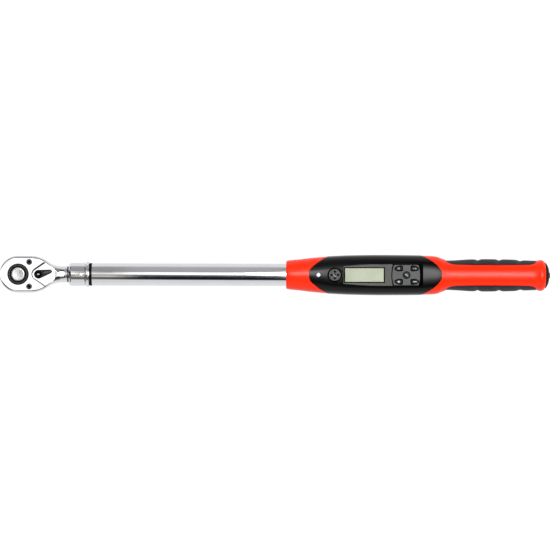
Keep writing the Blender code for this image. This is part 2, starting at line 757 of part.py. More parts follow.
def build_release_button():
    """The quick-release button with its stem, whose narrow part lets the ball sink in."""
    rounding = 0.8 * MM
    neck_start = BALL_Z - 0.5 * MM
    profile = (
        (BUTTON_TOP_Z, 0.0),
        (BUTTON_TOP_Z - 0.15 * MM, BUTTON_RADIUS - rounding),
        (BUTTON_TOP_Z - rounding, BUTTON_RADIUS),
        (BUTTON_BOTTOM_Z, BUTTON_RADIUS),
        (BUTTON_BOTTOM_Z, STEM_RADIUS),
        (BALL_Z + 7.0 * MM, STEM_RADIUS),
        (BALL_Z + 5.6 * MM, STEM_NECK_RADIUS),
        (BALL_Z + 2.0 * MM, STEM_NECK_RADIUS),
        (neck_start, STEM_RADIUS),
        (STEM_BOTTOM_Z, STEM_RADIUS),
        (STEM_BOTTOM_Z, 0.0),
    )
    turned("release_button", "chrome", profile, steps=20)


def build_release_spring():
    """The coil that pushes the button back up."""
    wire_radius = 0.3 * MM
    start = (0.0, 0.0, BUTTON_POCKET_FLOOR_Z + wire_radius + GAP)
    length = BUTTON_BOTTOM_Z - BUTTON_POCKET_FLOOR_Z - 2.0 * (wire_radius + GAP)
    wire("release_spring", "spring_steel", coil_points(start, (0, 0, 1), length, 5.2 * MM, 2.5), wire_radius)


def build_detent_ball():
    """The ball in the square's side that holds a socket."""
    bm = bmesh.new()
    bmesh.ops.create_uvsphere(bm, u_segments=14, v_segments=8, radius=BALL_RADIUS)
    ball = object_from_bmesh("detent_ball", "spring_steel", bm)
    ball.location = (0.0, BALL_Y, BALL_Z)


def build_pawl():
    """The rocking pawl, with teeth at both ends, and the pin it rocks on.

    It is symmetric halfway through its swing, so it rests turned back by half of it. Its teeth are cut by
    the gear's own outline at steps through the swing.
    """
    back = arc((LEVER_X, 0.0), PAWL_BACK_RADIUS, math.radians(136.0), math.radians(224.0), 9)
    half = [(11.6 * MM, PAWL_HALF_LENGTH - 1.2 * MM), (13.4 * MM, PAWL_HALF_LENGTH),
            (16.2 * MM, PAWL_HALF_LENGTH - 1.6 * MM)]
    outline = half + back + [(x, -y) for x, y in reversed(half)]
    pawl = plate("pawl", "dark_steel", outline, PAWL_BOTTOM_Z, PAWL_TOP_Z, pivot=(PAWL_PIN_X, 0.0))
    steps = 4
    for step in range(steps + 1):
        turn = PAWL_SWING * (step / steps - 0.5)
        shifted = [(x - PAWL_PIN_X, y) for x, y in gear_outline(0.25 * MM)]
        turned_outline = [
            (x * math.cos(turn) - y * math.sin(turn), x * math.sin(turn) + y * math.cos(turn))
            for x, y in shifted
        ]
        cutter = plate("cut_pawl_teeth_%d" % (step + 1), None, turned_outline, PAWL_BOTTOM_Z - GAP,
                       PAWL_TOP_Z + GAP)
        cutter.parent = pawl
        cutter.location.z = 0.0
        boolean(pawl, cutter)
    pin_hole = cylinder("cut_pawl_pin_hole", None, (0, 0, -10.0 * MM), (0, 0, 10.0 * MM),
                        PAWL_PIN_RADIUS + 0.2 * MM, 16)
    pin_hole.parent = pawl
    boolean(pawl, pin_hole)
    pawl.rotation_euler.z = -PAWL_SWING / 2.0
    cylinder("pawl_pin", "spring_steel", (PAWL_PIN_X, 0, GEAR_CAVITY_FLOOR_Z + 0.1 * MM),
             (PAWL_PIN_X, 0, AXIS_Z + 5.6 * MM), PAWL_PIN_RADIUS, 16)


def build_reverse_lever():
    """The reversing lever, its spindle, its centre cap, and the sprung plunger that tips the pawl."""
    taper = math.atan2(LEVER_HUB_RADIUS - LEVER_TIP_RADIUS, LEVER_TIP_REACH - LEVER_TIP_RADIUS)
    tip_x = LEVER_TIP_REACH - LEVER_TIP_RADIUS
    quarter = math.radians(90.0)
    outline = arc((0.0, 0.0), LEVER_HUB_RADIUS, quarter - taper, TURN - quarter + taper, 17)
    outline += arc((tip_x, 0.0), LEVER_TIP_RADIUS, taper - quarter, quarter - taper, 7)
    lever = plate("reverse_lever", "black_plastic", outline, LEVER_BOTTOM_Z, LEVER_TOP_Z)
    rib_outline = arc((tip_x - 0.3 * MM, 0.0), 1.2 * MM, -quarter, quarter, 7)
    rib_outline += arc((LEVER_HUB_RADIUS + 2.0 * MM, 0.0), 1.2 * MM, quarter, TURN - quarter, 7)
    rib = plate("add_lever_rib", None, rib_outline, LEVER_TOP_Z - 1.0 * MM, LEVER_RIB_TOP_Z)
    lever.location.xy = (LEVER_X, 0.0)
    rib.location.xy = (LEVER_X, 0.0)
    lever.rotation_euler.z = LEVER_REST_TURN
    rib.rotation_euler.z = LEVER_REST_TURN
    boolean(lever, rib, "UNION")
    cap_room = cylinder("cut_lever_cap_room", None, (LEVER_X, 0, LEVER_TOP_Z - 1.0 * MM),
                        (LEVER_X, 0, LEVER_RIB_TOP_Z + GAP), 3.85 * MM + GAP / 2.0, 24)
    boolean(lever, cap_room)
    spindle_top_z = LEVER_TOP_Z - 1.3 * MM
    hole = cylinder("cut_lever_hole", None, (LEVER_X, 0, LEVER_BOTTOM_Z - GAP), (LEVER_X, 0, LEVER_TOP_Z),
                    SPINDLE_RADIUS + 0.2 * MM, 24)
    boolean(lever, hole)
    spindle = cylinder("lever_spindle", "dark_steel", (LEVER_X, 0, SPINDLE_BOTTOM_Z),
                       (LEVER_X, 0, spindle_top_z), SPINDLE_RADIUS, 24)
    cylinder("lever_cap", "black_plastic", (LEVER_X, 0, LEVER_TOP_Z - 0.8 * MM),
             (LEVER_X, 0, LEVER_TOP_Z + 0.5 * MM), 3.75 * MM, 24)
    toward = Vector((-math.cos(LEVER_REST_TURN), -math.sin(LEVER_REST_TURN), 0.0))
    centre = Vector((LEVER_X, 0.0, PLUNGER_Z))
    bore = cylinder("cut_plunger_bore", None, centre - toward * 1.4 * MM, centre + toward * 4.0 * MM,
                    PLUNGER_RADIUS + 0.2 * MM, 16)
    boolean(spindle, bore)
    cylinder("pawl_plunger", "spring_steel", centre + toward * 1.4 * MM, centre + toward * PLUNGER_REACH,
             PLUNGER_RADIUS, 16)
    coil = coil_points(centre - toward * 1.0 * MM, toward, 2.0 * MM, 0.6 * MM, 2.0)
    wire("plunger_spring", "spring_steel", coil, 0.15 * MM)


def build_neck_and_tube():
    """The seal, collar, pin, spacer ring and main tube."""
    turned("neck_seal", "black_rubber",
           ((SEAL_END_X, 8.0 * MM), (SEAL_END_X, SEAL_RADIUS), (SEAL_START_X, SEAL_RADIUS),
            (SEAL_START_X, 8.0 * MM)),
           closed=True, along_x=True)
    edge = 0.4 * MM
    collar = turned(
        "collar", "chrome",
        (
            (SPIGOT_END_X, COLLAR_BORE_RADIUS),
            (SPIGOT_END_X, SPIGOT_RADIUS),
            (FLANGE_END_X, SPIGOT_RADIUS),
            (FLANGE_END_X, FLANGE_RADIUS - edge),
            (FLANGE_END_X - edge, FLANGE_RADIUS),
            (FLANGE_START_X + edge, FLANGE_RADIUS),
            (FLANGE_START_X, FLANGE_RADIUS - edge),
            (FLANGE_START_X, COLLAR_RADIUS - 0.8 * MM),
            (FLANGE_START_X - 1.5 * MM, COLLAR_RADIUS - 0.8 * MM),
            (FLANGE_START_X - 1.5 * MM, COLLAR_RADIUS),
            *COLLAR_NOSE,
            (COLLAR_START_X, COLLAR_BORE_RADIUS),
        ),
        closed=True, along_x=True,
    )
    pin_hole = cylinder("cut_collar_pin_hole", None, (COLLAR_PIN_X, 0, AXIS_Z - 14.0 * MM),
                        (COLLAR_PIN_X, 0, AXIS_Z + 14.0 * MM), COLLAR_PIN_RADIUS + GAP, 20)
    boolean(collar, pin_hole)
    cylinder("collar_pin", "spring_steel", (COLLAR_PIN_X, 0, AXIS_Z - 12.1 * MM),
             (COLLAR_PIN_X, 0, AXIS_Z + 12.1 * MM), COLLAR_PIN_RADIUS, 20)
    turned("spacer_ring", "black_rubber",
           ((TUBE_START_X - GAP, 10.0 * MM), (TUBE_START_X - GAP, TUBE_RADIUS),
            (FLANGE_END_X + GAP, TUBE_RADIUS), (FLANGE_END_X + GAP, 10.0 * MM)),
           closed=True, along_x=True)
    tube = turned("main_tube", "chrome",
                  ((TUBE_END_X, TUBE_BORE_RADIUS), (TUBE_END_X, TUBE_RADIUS),
                   (TUBE_START_X, TUBE_RADIUS), (TUBE_START_X, TUBE_BORE_RADIUS)),
                  closed=True, along_x=True)
    for index, (start, end) in enumerate(((352.0, 360.0), (419.0, 429.0))):
        slot = box("cut_tube_slot_%d" % (index + 1), None, (start * MM, -3.0 * MM, AXIS_Z + 4.0 * MM),
                   (end * MM, 3.0 * MM, AXIS_Z + 13.0 * MM))
        boolean(tube, slot)


def build_strain_gauges():
    """A foil gauge on each flat side of the beam, and the lead that runs to the circuit board."""
    for index, side in enumerate((1, -1)):
        near = side * (BEAM_HALF_WIDTH + GAP)
        far = side * (BEAM_HALF_WIDTH + GAP + 0.3 * MM)
        box("strain_gauge_%d" % (index + 1), "gauge_film", (103.0 * MM, min(near, far), AXIS_Z - 3.0 * MM),
            (114.0 * MM, max(near, far), AXIS_Z + 3.0 * MM))
    wire("gauge_cable", "lead_grey", smooth_route(GAUGE_CABLE_ROUTE, 6.0 * MM), GAUGE_CABLE_RADIUS)
    wire("battery_lead", "lead_grey", smooth_route(BATTERY_LEAD_ROUTE, 4.0 * MM), BATTERY_LEAD_RADIUS)


def body_section(station, inset=0.0):
    """A section of the housing across the long axis: an ellipse that is squarer at the display."""
    x, half_width, top, bottom, power = station
    half_width = half_width * MM - inset
    section = []
    for i in range(BODY_POINTS):
        angle = TURN * i / BODY_POINTS
        height = (top if math.sin(angle) >= 0.0 else bottom) * MM - inset
        y = half_width * math.copysign(abs(math.cos(angle)) ** (2.0 / power), math.cos(angle))
        z = height * math.copysign(abs(math.sin(angle)) ** (2.0 / power), math.sin(angle))
        section.append((x * MM, y, AXIS_Z + z))
    return section


def boat_outline(offset):
    """The console cover's plan outline, moved outwards by an offset along x and y."""
    middle = (BOAT_HALF[0][0] + BOAT_HALF[-1][0]) / 2.0 * MM
    half = []
    for x, y in BOAT_HALF:
        outward = offset if x * MM > middle else -offset
        half.append((x * MM + outward, y * MM + (offset if y else 0.0)))
    return mirrored(half)


def pad_outline(side, offset):
    """The plan zone of one grip pad; a positive offset makes the zone larger."""
    points = []
    middle = (PAD_HALF[0][0] + PAD_HALF[-3][0]) / 2.0
    for x, y in PAD_HALF:
        along = offset if x > middle else -offset
        points.append((x * MM + along, side * (y * MM - offset)))
    return points


def build_shells():
    """The upper and lower housing shells, which meet at the level of the long axis."""
    sections = [body_section(station) for station in BODY_STATIONS]
    upper = loft("upper_shell", "red_plastic", sections)
    lower = loft("lower_shell", "red_plastic", sections)
    length = (270.0 * MM, 570.0 * MM)
    half_gap = GAP / 2.0
    below = box("cut_below_axis", None, (length[0], -30.0 * MM, AXIS_Z - 30.0 * MM),
                (length[1], 30.0 * MM, AXIS_Z + half_gap))
    above = box("cut_above_axis", None, (length[0], -30.0 * MM, AXIS_Z - half_gap),
                (length[1], 30.0 * MM, AXIS_Z + 30.0 * MM))
    channel = cylinder("cut_tube_channel", None, (length[0], 0, AXIS_Z), (length[1], 0, AXIS_Z),
                       CHANNEL_RADIUS, 32)
    flat = box("cut_rest_flat", None, (length[0], -30.0 * MM, AXIS_Z - 30.0 * MM),
               (length[1], 30.0 * MM, REST_FLAT_Z))
    boolean(upper, below)
    boolean(lower, above)
    boolean(lower, flat)
    for shell in (upper, lower):
        boolean(shell, channel)
        for side in (1, -1):
            boolean(shell, bpy.data.objects["cut_pad_zone_%d" % (side + 2)])
    boolean(upper, bpy.data.objects["cut_cover_room"])
    board_room = plate("cut_board_room", None, board_outline(1.5 * MM), AXIS_Z + 6.0 * MM,
                       AXIS_Z + 20.0 * MM)
    boolean(upper, board_room)
    build_housing_screws(upper, lower)


def build_housing_screws(upper, lower):
    """Four screws from below that hold the two shells together."""
    number = 1
    for x, y in HOUSING_SCREWS:
        for side in (1, -1):
            place = (x, side * y)
            hole = cylinder("cut_housing_screw_hole_%d" % number, None, (*place, AXIS_Z - 12.0 * MM),
                            (*place, AXIS_Z + 4.6 * MM), 1.3 * MM, 16)
            seat = cylinder("cut_housing_screw_seat_%d" % number, None, (*place, AXIS_Z - 25.0 * MM),
                            (*place, AXIS_Z - 4.0 * MM), 2.3 * MM, 16)
            boolean(upper, hole)
            boolean(lower, hole)
            boolean(lower, seat)
            profile = (
                (AXIS_Z + 4.0 * MM, 0.0),
                (AXIS_Z + 4.0 * MM, 0.6 * MM),
                (AXIS_Z + 3.2 * MM, 1.0 * MM),
                (AXIS_Z - 4.3 * MM, 1.0 * MM),
                (AXIS_Z - 4.3 * MM, 2.0 * MM),
                (AXIS_Z - 5.8 * MM, 2.0 * MM),
                (AXIS_Z - 5.8 * MM, 0.0),
            )
            screw = turned("housing_screw_%d" % number, "dark_steel", profile, steps=12)
            screw.location = (*place, 0.0)
            number += 1


def build_console_cover():
    """The black boat-shaped cover over the electronics, a skin on the housing's own surface."""
    sections = [body_section(station) for station in BODY_STATIONS]
    inner = loft("cut_cover_inside", None, [body_section(s, COVER_THICKNESS) for s in BODY_STATIONS])
    cover = loft("console_cover", "black_plastic", sections)
    low = AXIS_Z + GAP
    high = AXIS_Z + 25.0 * MM
    zone = plate("keep_cover_zone", None, boat_outline(0.0), low, high)
    boolean(cover, zone, "INTERSECT")
    boolean(cover, inner)
    opening_outline = panel_outline(BEZEL_START_X - 0.5 * MM, OPENING_END_X, 0.4 * MM)
    opening = plate("cut_display_opening", None, opening_outline, AXIS_Z + 10.0 * MM, high)
    boolean(cover, opening)
    grille_hole = cylinder("cut_grille_hole", None, (BUZZER_X, 0, AXIS_Z + 10.0 * MM), (BUZZER_X, 0, high),
                           GRILLE_RADIUS + 1.3 * MM, 32)
    lamp_hole = cylinder("cut_lamp_hole", None, (LAMP_X, 0, AXIS_Z + 10.0 * MM), (LAMP_X, 0, high),
                         LAMP_RADIUS + GAP, 20)
    boolean(cover, grille_hole)
    boolean(cover, lamp_hole)
    room = plate("cut_cover_room", None, boat_outline(GAP), AXIS_Z - GAP, high)
    shelf = loft("cut_cover_shelf", None,
                 [body_section(s, COVER_THICKNESS + GAP) for s in BODY_STATIONS])
    boolean(room, shelf)


def panel_outline(start_x, end_x, margin):
    """The plan outline shared by the bezel and the keypad panel: it widens along the display."""
    half = [
        (start_x, PANEL_START_HALF_WIDTH + margin),
        (PANEL_WIDE_X, PANEL_HALF_WIDTH + margin),
        (end_x - 1.0 * MM, PANEL_HALF_WIDTH + margin),
        (end_x, PANEL_HALF_WIDTH + margin - 1.0 * MM),
    ]
    return mirrored(half)


def barrel_end(x, bulge, half_width, count=9):
    """Points of an end edge that curves by bulge over its width, from +y to -y."""
    shares = [1.0 - 2.0 * i / (count - 1) for i in range(count)]
    return [(x + bulge * (1.0 - share * share), half_width * share) for share in shares]


def board_outline(margin):
    """The circuit board's plan outline, narrow under the lamp and buzzer, with a margin all round."""
    step_x = BOARD_STEP_X - margin
    half = [
        (BOARD_START_X - margin, BOARD_NARROW_HALF_WIDTH + margin),
        (step_x, BOARD_NARROW_HALF_WIDTH + margin),
        (step_x, BOARD_HALF_WIDTH + margin),
        (BOARD_END_X + margin, BOARD_HALF_WIDTH + margin),
    ]
    return mirrored(half)


def build_display():
    """The circuit board, display module, bezel, window, buzzer, grille and lamp."""
    plate("circuit_board", "board_green", board_outline(0.0), BOARD_BOTTOM_Z, BOARD_TOP_Z)
    box("lcd_module", "lcd_green",
        (WINDOW_START_X - 1.0 * MM, -WINDOW_HALF_WIDTH - 1.2 * MM, BOARD_TOP_Z + GAP),
        (WINDOW_END_X + 1.6 * MM, WINDOW_HALF_WIDTH + 1.2 * MM, AXIS_Z + 16.4 * MM))
    right_edge = barrel_end(BEZEL_END_X, -BEZEL_WAIST, PANEL_HALF_WIDTH)
    outline = [(BEZEL_START_X, -PANEL_START_HALF_WIDTH), (BEZEL_START_X, PANEL_START_HALF_WIDTH),
               (PANEL_WIDE_X, PANEL_HALF_WIDTH)] + right_edge + [(PANEL_WIDE_X, -PANEL_HALF_WIDTH)]
    bezel = plate("lcd_bezel", "grey_plastic", outline, PANEL_BOTTOM_Z, PANEL_TOP_Z)
    window_room = box("cut_window_room", None, (WINDOW_START_X, -WINDOW_HALF_WIDTH, PANEL_BOTTOM_Z - GAP),
                      (WINDOW_END_X, WINDOW_HALF_WIDTH, PANEL_TOP_Z + GAP))
    boolean(bezel, window_room)
    box("lcd_window", "clear_pane",
        (WINDOW_START_X + GAP, -WINDOW_HALF_WIDTH + GAP, AXIS_Z + 16.8 * MM),
        (WINDOW_END_X - GAP, WINDOW_HALF_WIDTH - GAP, AXIS_Z + 17.8 * MM))
    cylinder("buzzer", "black_plastic", (BUZZER_X, 0, BOARD_TOP_Z + GAP), (BUZZER_X, 0, AXIS_Z + 16.0 * MM),
             5.8 * MM, 24)
    grille = cylinder("buzzer_grille", "grey_plastic", (BUZZER_X, 0, AXIS_Z + 16.4 * MM),
                      (BUZZER_X, 0, AXIS_Z + 17.4 * MM), GRILLE_RADIUS, 24)
    places = [(0.0, 0.0)] + arc((0.0, 0.0), GRILLE_HOLE_PITCH, 0.0, TURN * 0.75, 4)
    for index, (x, y) in enumerate(places):
        hole = cylinder("cut_grille_hole_%d" % (index + 1), None, (BUZZER_X + x, y, AXIS_Z + 16.0 * MM),
                        (BUZZER_X + x, y, AXIS_Z + 18.0 * MM), GRILLE_HOLE_RADIUS, 8)
        boolean(grille, hole)
    dome_z = AXIS_Z + 17.5 * MM
    profile = ((dome_z + 0.9 * MM, 0.0), (dome_z + 0.7 * MM, LAMP_RADIUS * 0.6),
               (dome_z, LAMP_RADIUS - 0.15 * MM), (dome_z - 0.3 * MM, LAMP_RADIUS),
               (BOARD_TOP_Z + GAP, LAMP_RADIUS), (BOARD_TOP_Z + GAP, 0.0))
    lamp = turned("lamp_lens", "lamp_white", profile, steps=16)
    lamp.location = (LAMP_X, 0.0, 0.0)


def key_outline(length, width):
    """A leaf: two shallow arcs that meet at rounded ends."""
    half = [(-length / 2.0, width * 0.12), (-length * 0.32, width * 0.40), (0.0, width / 2.0),
            (length * 0.32, width * 0.40), (length / 2.0, width * 0.12)]
    return half + [(x, -y) for x, y in reversed(half)]


def build_keypad():
    """The keypad panel, its dome sheet and the five keys that stand through it."""
    left = barrel_end(BEZEL_END_X + GAP, -BEZEL_WAIST, PANEL_HALF_WIDTH - 0.6 * MM)
    right = barrel_end(KEYPAD_END_X - 1.6 * MM, 1.6 * MM, PANEL_HALF_WIDTH - 0.6 * MM)
    outline = list(reversed(left)) + right
    panel = plate("keypad_panel", "keypad_grey", outline, PANEL_BOTTOM_Z, PANEL_TOP_Z)
    keys = []
    for x in CORNER_KEY_X:
        for side in (1, -1):
            keys.append((x, side * CORNER_KEY_Y, side * (1 if x < CENTRE_KEY_X else -1)))
    for index, (x, y, lean) in enumerate(keys):
        turn = math.radians(8.0) * lean
        key = plate("corner_key_%d" % (index + 1), "black_plastic",
                    key_outline(CORNER_KEY_LENGTH, CORNER_KEY_WIDTH), KEY_BOTTOM_Z, KEY_TOP_Z)
        hole = plate("cut_corner_key_%d" % (index + 1), None,
                     key_outline(CORNER_KEY_LENGTH + 2.0 * GAP, CORNER_KEY_WIDTH + 2.0 * GAP),
                     PANEL_BOTTOM_Z - GAP, PANEL_TOP_Z + GAP)
        for piece in (key, hole):
            piece.location.xy = (x, y)
            piece.rotation_euler.z = turn
        boolean(panel, hole)
    cylinder("centre_key", "black_plastic", (CENTRE_KEY_X, 0, KEY_BOTTOM_Z), (CENTRE_KEY_X, 0, KEY_TOP_Z),
             CENTRE_KEY_RADIUS, 20)
    centre_hole = cylinder("cut_centre_key", None, (CENTRE_KEY_X, 0, PANEL_BOTTOM_Z - GAP),
                           (CENTRE_KEY_X, 0, PANEL_TOP_Z + GAP), CENTRE_KEY_RADIUS + GAP, 20)
    boolean(panel, centre_hole)
    box("keypad_dome_sheet", "black_plastic", (396.5 * MM, -10.6 * MM, BOARD_TOP_Z + 0.2 * MM),
        (422.5 * MM, 10.6 * MM, BOARD_TOP_Z + 0.6 * MM))


def build_grip_pads():
    """The two rubber pads with finger notches, one on each side of the grip."""
    sections = [body_section((x, half, 15.6, 15.6, 2.0)) for x, half in PAD_STATIONS]
    names = {1: "grip_pad_left", -1: "grip_pad_right"}
    inside = cylinder("cut_pad_inside", None, (440.0 * MM, 0, AXIS_Z), (560.0 * MM, 0, AXIS_Z),
                      PAD_CORE_RADIUS + GAP, 32)
    core = cylinder("cut_pad_core", None, (440.0 * MM, 0, AXIS_Z), (560.0 * MM, 0, AXIS_Z),
                    PAD_CORE_RADIUS, 32)
    low = AXIS_Z - 25.0 * MM
    high = AXIS_Z + 25.0 * MM
    for side in (1, -1):
        pad = loft(names[side], "black_rubber", sections)
        keep = plate("keep_pad_zone_%d" % (side + 2), None, pad_outline(side, 0.0), low, high)
        boolean(pad, keep, "INTERSECT")
        boolean(pad, inside)
        zone = plate("cut_pad_zone_%d" % (side + 2), None, pad_outline(side, GAP), low, high)
        boolean(zone, core)


def build_battery():
    """The battery sleeve, two cells and the front contact."""
    turned("battery_sleeve", "grey_plastic",
           ((SLEEVE_END_X, SLEEVE_BORE_RADIUS), (SLEEVE_END_X, SLEEVE_RADIUS),
            (SLEEVE_START_X, SLEEVE_RADIUS), (SLEEVE_START_X, SLEEVE_BORE_RADIUS)),
           closed=True, steps=20, along_x=True)
    cylinder("battery_contact", "brass", (SLEEVE_START_X + 1.0 * MM, 0, AXIS_Z),
             (SLEEVE_START_X + 1.6 * MM, 0, AXIS_Z), SLEEVE_BORE_RADIUS - GAP, 20)
    for index in range(2):
        start = CELL_START_X + index * CELL_PITCH
        body = start + CELL_NUB_LENGTH
        end = body + CELL_LENGTH
        edge = 0.6 * MM
        profile = ((end, 0.0), (end, CELL_RADIUS - edge), (end - edge, CELL_RADIUS),
                   (body + edge, CELL_RADIUS), (body, CELL_RADIUS - edge), (body, 2.7 * MM),
                   (start, 2.7 * MM), (start, 0.0))
        turned("battery_%d" % (index + 1), "cell_jacket", profile, steps=20, along_x=True)


def build_cap():
    """The screw cap with its seal, contact disc and spring."""
    groove = 1.0 * MM
    profile = (
        (CAP_END_X, 0.0),
        (CAP_END_X, CAP_NUB_RADIUS - 0.4 * MM),
        (CAP_END_X - 0.4 * MM, CAP_NUB_RADIUS),
        *CAP_DOME,
        (CAP_FACE_X, CAP_RADIUS - 0.3 * MM),
        (CAP_FACE_X, CAP_PLUG_RADIUS),
        (CAP_GROOVE_X + groove, CAP_PLUG_RADIUS),
        (CAP_GROOVE_X + groove, 10.6 * MM),
        (CAP_GROOVE_X - groove, 10.6 * MM),
        (CAP_GROOVE_X - groove, CAP_PLUG_RADIUS),
        (CAP_START_X, CAP_PLUG_RADIUS),
        (CAP_START_X, CAP_BORE_RADIUS),
        (CAP_BORE_END_X, CAP_BORE_RADIUS),
        (CAP_BORE_END_X, 0.0),
    )
    cap = turned("end_cap", "black_plastic", profile, along_x=True)
    coin_slot = box("cut_coin_slot", None, (COIN_SLOT_X, -CAP_RADIUS, AXIS_Z - 1.0 * MM),
                    (CAP_END_X + 1.0 * MM, CAP_RADIUS, AXIS_Z + 1.0 * MM))
    boolean(cap, coin_slot)
    bpy.ops.mesh.primitive_torus_add(major_radius=11.45 * MM, minor_radius=0.5 * MM, major_segments=28,
                                     minor_segments=6, location=(CAP_GROOVE_X, 0.0, AXIS_Z),
                                     rotation=(0.0, math.radians(90.0), 0.0))
    seal = bpy.context.active_object
    seal.name = "cap_seal"
    for collection in list(seal.users_collection):
        collection.objects.unlink(seal)
    PARTS.objects.link(seal)
    add_material(seal, "black_rubber")
    seal.data.shade_smooth()
    cylinder("cap_contact", "brass", (CAP_BORE_END_X - 0.9 * MM, 0, AXIS_Z),
             (CAP_BORE_END_X - GAP, 0, AXIS_Z), CAP_BORE_RADIUS - GAP, 20)
    last_cell_end = CELL_START_X + CELL_PITCH + CELL_NUB_LENGTH + CELL_LENGTH
    wire_radius = 0.4 * MM
    start_x = last_cell_end + GAP + wire_radius
    length = CAP_BORE_END_X - 0.9 * MM - GAP - wire_radius - start_x
    coil = coil_points((start_x, 0, AXIS_Z), (1, 0, 0), length, 5.0 * MM, 3.0)
    wire("cap_spring", "spring_steel", coil, wire_radius)


clear_scene()
PARTS = make_collection("torque_wrench")
CUTTERS = make_collection("cutters")
build_neck_and_tube()
build_head_body()
build_cover_plate()
build_plate_screws()
build_drive_gear()
build_spinner_ring()
build_release_button()
build_release_spring()
build_detent_ball()
build_pawl()
build_reverse_lever()
build_strain_gauges()
build_grip_pads()
build_console_cover()
build_shells()
build_display()
build_keypad()
build_battery()
build_cap()
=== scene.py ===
import json
from math import acos, atan2, copysign, cos, exp, hypot, pi, radians, sin, sqrt, tan

import bmesh
import bpy
from mathutils import Matrix, Vector


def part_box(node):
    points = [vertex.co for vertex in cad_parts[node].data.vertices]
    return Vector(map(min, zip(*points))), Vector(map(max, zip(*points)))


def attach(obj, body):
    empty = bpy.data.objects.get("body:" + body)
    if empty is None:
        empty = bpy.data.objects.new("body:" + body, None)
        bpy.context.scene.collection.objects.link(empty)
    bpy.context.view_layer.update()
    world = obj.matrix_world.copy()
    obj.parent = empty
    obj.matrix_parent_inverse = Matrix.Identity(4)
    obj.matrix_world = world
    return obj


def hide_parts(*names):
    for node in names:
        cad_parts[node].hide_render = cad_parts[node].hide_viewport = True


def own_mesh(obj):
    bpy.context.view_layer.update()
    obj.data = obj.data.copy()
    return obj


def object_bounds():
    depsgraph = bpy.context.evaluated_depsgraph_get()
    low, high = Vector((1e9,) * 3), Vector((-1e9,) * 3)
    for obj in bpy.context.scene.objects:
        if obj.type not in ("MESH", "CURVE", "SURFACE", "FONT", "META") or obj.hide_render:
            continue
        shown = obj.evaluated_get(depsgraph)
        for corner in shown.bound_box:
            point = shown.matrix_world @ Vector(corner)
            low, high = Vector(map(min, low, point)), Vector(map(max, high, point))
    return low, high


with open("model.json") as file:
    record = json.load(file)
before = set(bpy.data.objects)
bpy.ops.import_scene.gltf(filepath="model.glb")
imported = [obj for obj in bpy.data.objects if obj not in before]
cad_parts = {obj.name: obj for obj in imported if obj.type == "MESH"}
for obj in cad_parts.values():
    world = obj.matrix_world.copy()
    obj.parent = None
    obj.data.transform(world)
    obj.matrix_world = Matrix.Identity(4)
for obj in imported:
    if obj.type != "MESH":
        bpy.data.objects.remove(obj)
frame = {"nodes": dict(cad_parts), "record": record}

CAD_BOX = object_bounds()
# Lengths are in millimetres, up to the meshes: object_from_bmesh turns them into metres.
MM = 0.001
TURN = 2 * pi
QUARTER = pi / 2
FINE = 96
CORNERS = ((1, 1), (-1, 1), (-1, -1), (1, -1))
RECORD = frame["record"]
BODY_OF = {node: body for body, nodes in RECORD["behaviour"]["bodies"].items() for node in nodes}
SLOT_OF = {part["node"]: part["material_slot"] for part in RECORD["subparts"]}


def low(node):
    """The lowest corner of a CAD node's box."""
    return Vector(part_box(node)[0]) / MM


def high(node):
    """The highest corner of a CAD node's box."""
    return Vector(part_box(node)[1]) / MM


def centre(node):
    """The middle of a CAD node's box."""
    return (low(node) + high(node)) / 2


def heights(node):
    """The lowest and highest z of a CAD node."""
    return low(node).z, high(node).z


AXIS_Z = centre("main_tube").z
HEAD_TOP_Z = high("head_body").z
HEAD_UNDERSIDE_Z = 2 * AXIS_Z - HEAD_TOP_Z
DECK_Z = low("cover_plate").z - 0.05
LEVER_AT = (centre("lever_cap").x, 0)
LEVER_TURN = radians(14)

# Ratchet head
HEAD_RADIUS = high("head_body").y
HEAD_NOSE_X = low("head_body").x + HEAD_RADIUS
HEAD_CHEEK_END_X = 12.95
HEAD_HALF_THICKNESS = HEAD_TOP_Z - AXIS_Z
HEAD_EDGE_RADIUS = 3.4
HEAD_CONVEX_SHARE = 0.56
HEAD_FALL_START_X = 28
HEAD_STEP = 0.8
NECK_START_X = 45
NECK_ROUND_X = 49
NECK_RADIUS = 8.6
NECK_END_X = 51
SHANK_RADIUS = 7.7
SHANK_END_X = 96
BEAM_HALF_WIDTH = 4.5
BEAM_HALF_HEIGHT = 7
PLATE_INSET = 2.6
PLATE_GAP = 0.05
NOTCH_RADIUS = 6
NOTCH_HALF_ANGLE = radians(34)

# Housing: x, half width, height above the axis, depth below it, and squareness of the section
BODY_STATIONS = (
    (282.6, 13.3, 13.3, 13.3, 2), (282.7, 14.1, 14.1, 14.1, 2), (283.1, 14.7, 14.7, 14.7, 2),
    (284.2, 15.2, 15.1, 15.2, 2), (297.5, 16.7, 16.2, 16.6, 2.1), (314.4, 18.6, 17.3, 18.4, 2.3),
    (331.4, 19.9, 18, 19.6, 2.5), (352.6, 20.8, 18.5, 20, 2.6), (382.3, 21.2, 18.6, 20, 2.6),
    (416, 21, 18.6, 20, 2.6), (437.4, 20.4, 18.2, 19.5, 2.4), (442.5, 19.7, 17.8, 19, 2.3),
    (447, 18, 17.2, 18.1, 2.2), (452, 16.4, 16.4, 16.9, 2.1), (458.6, 15.5, 15.7, 15.9, 2),
    (475, 15.3, 15.5, 15.5, 2), (505, 15.2, 15.5, 15.5, 2), (530, 15.2, 15.4, 15.4, 2),
    (543, 15.2, 15.3, 15.3, 2), (547.5, 15.5, 15.6, 15.6, 2), (549.6, 16, 16.1, 16.1, 2),
    (551.8, 16.5, 16.6, 16.6, 2), (553.6, 16.3, 16.4, 16.4, 2), (555.3, 15.4, 15.5, 15.5, 2),
    (556.3, 14.6, 14.7, 14.7, 2), (556.7, 14, 14.1, 14.1, 2))
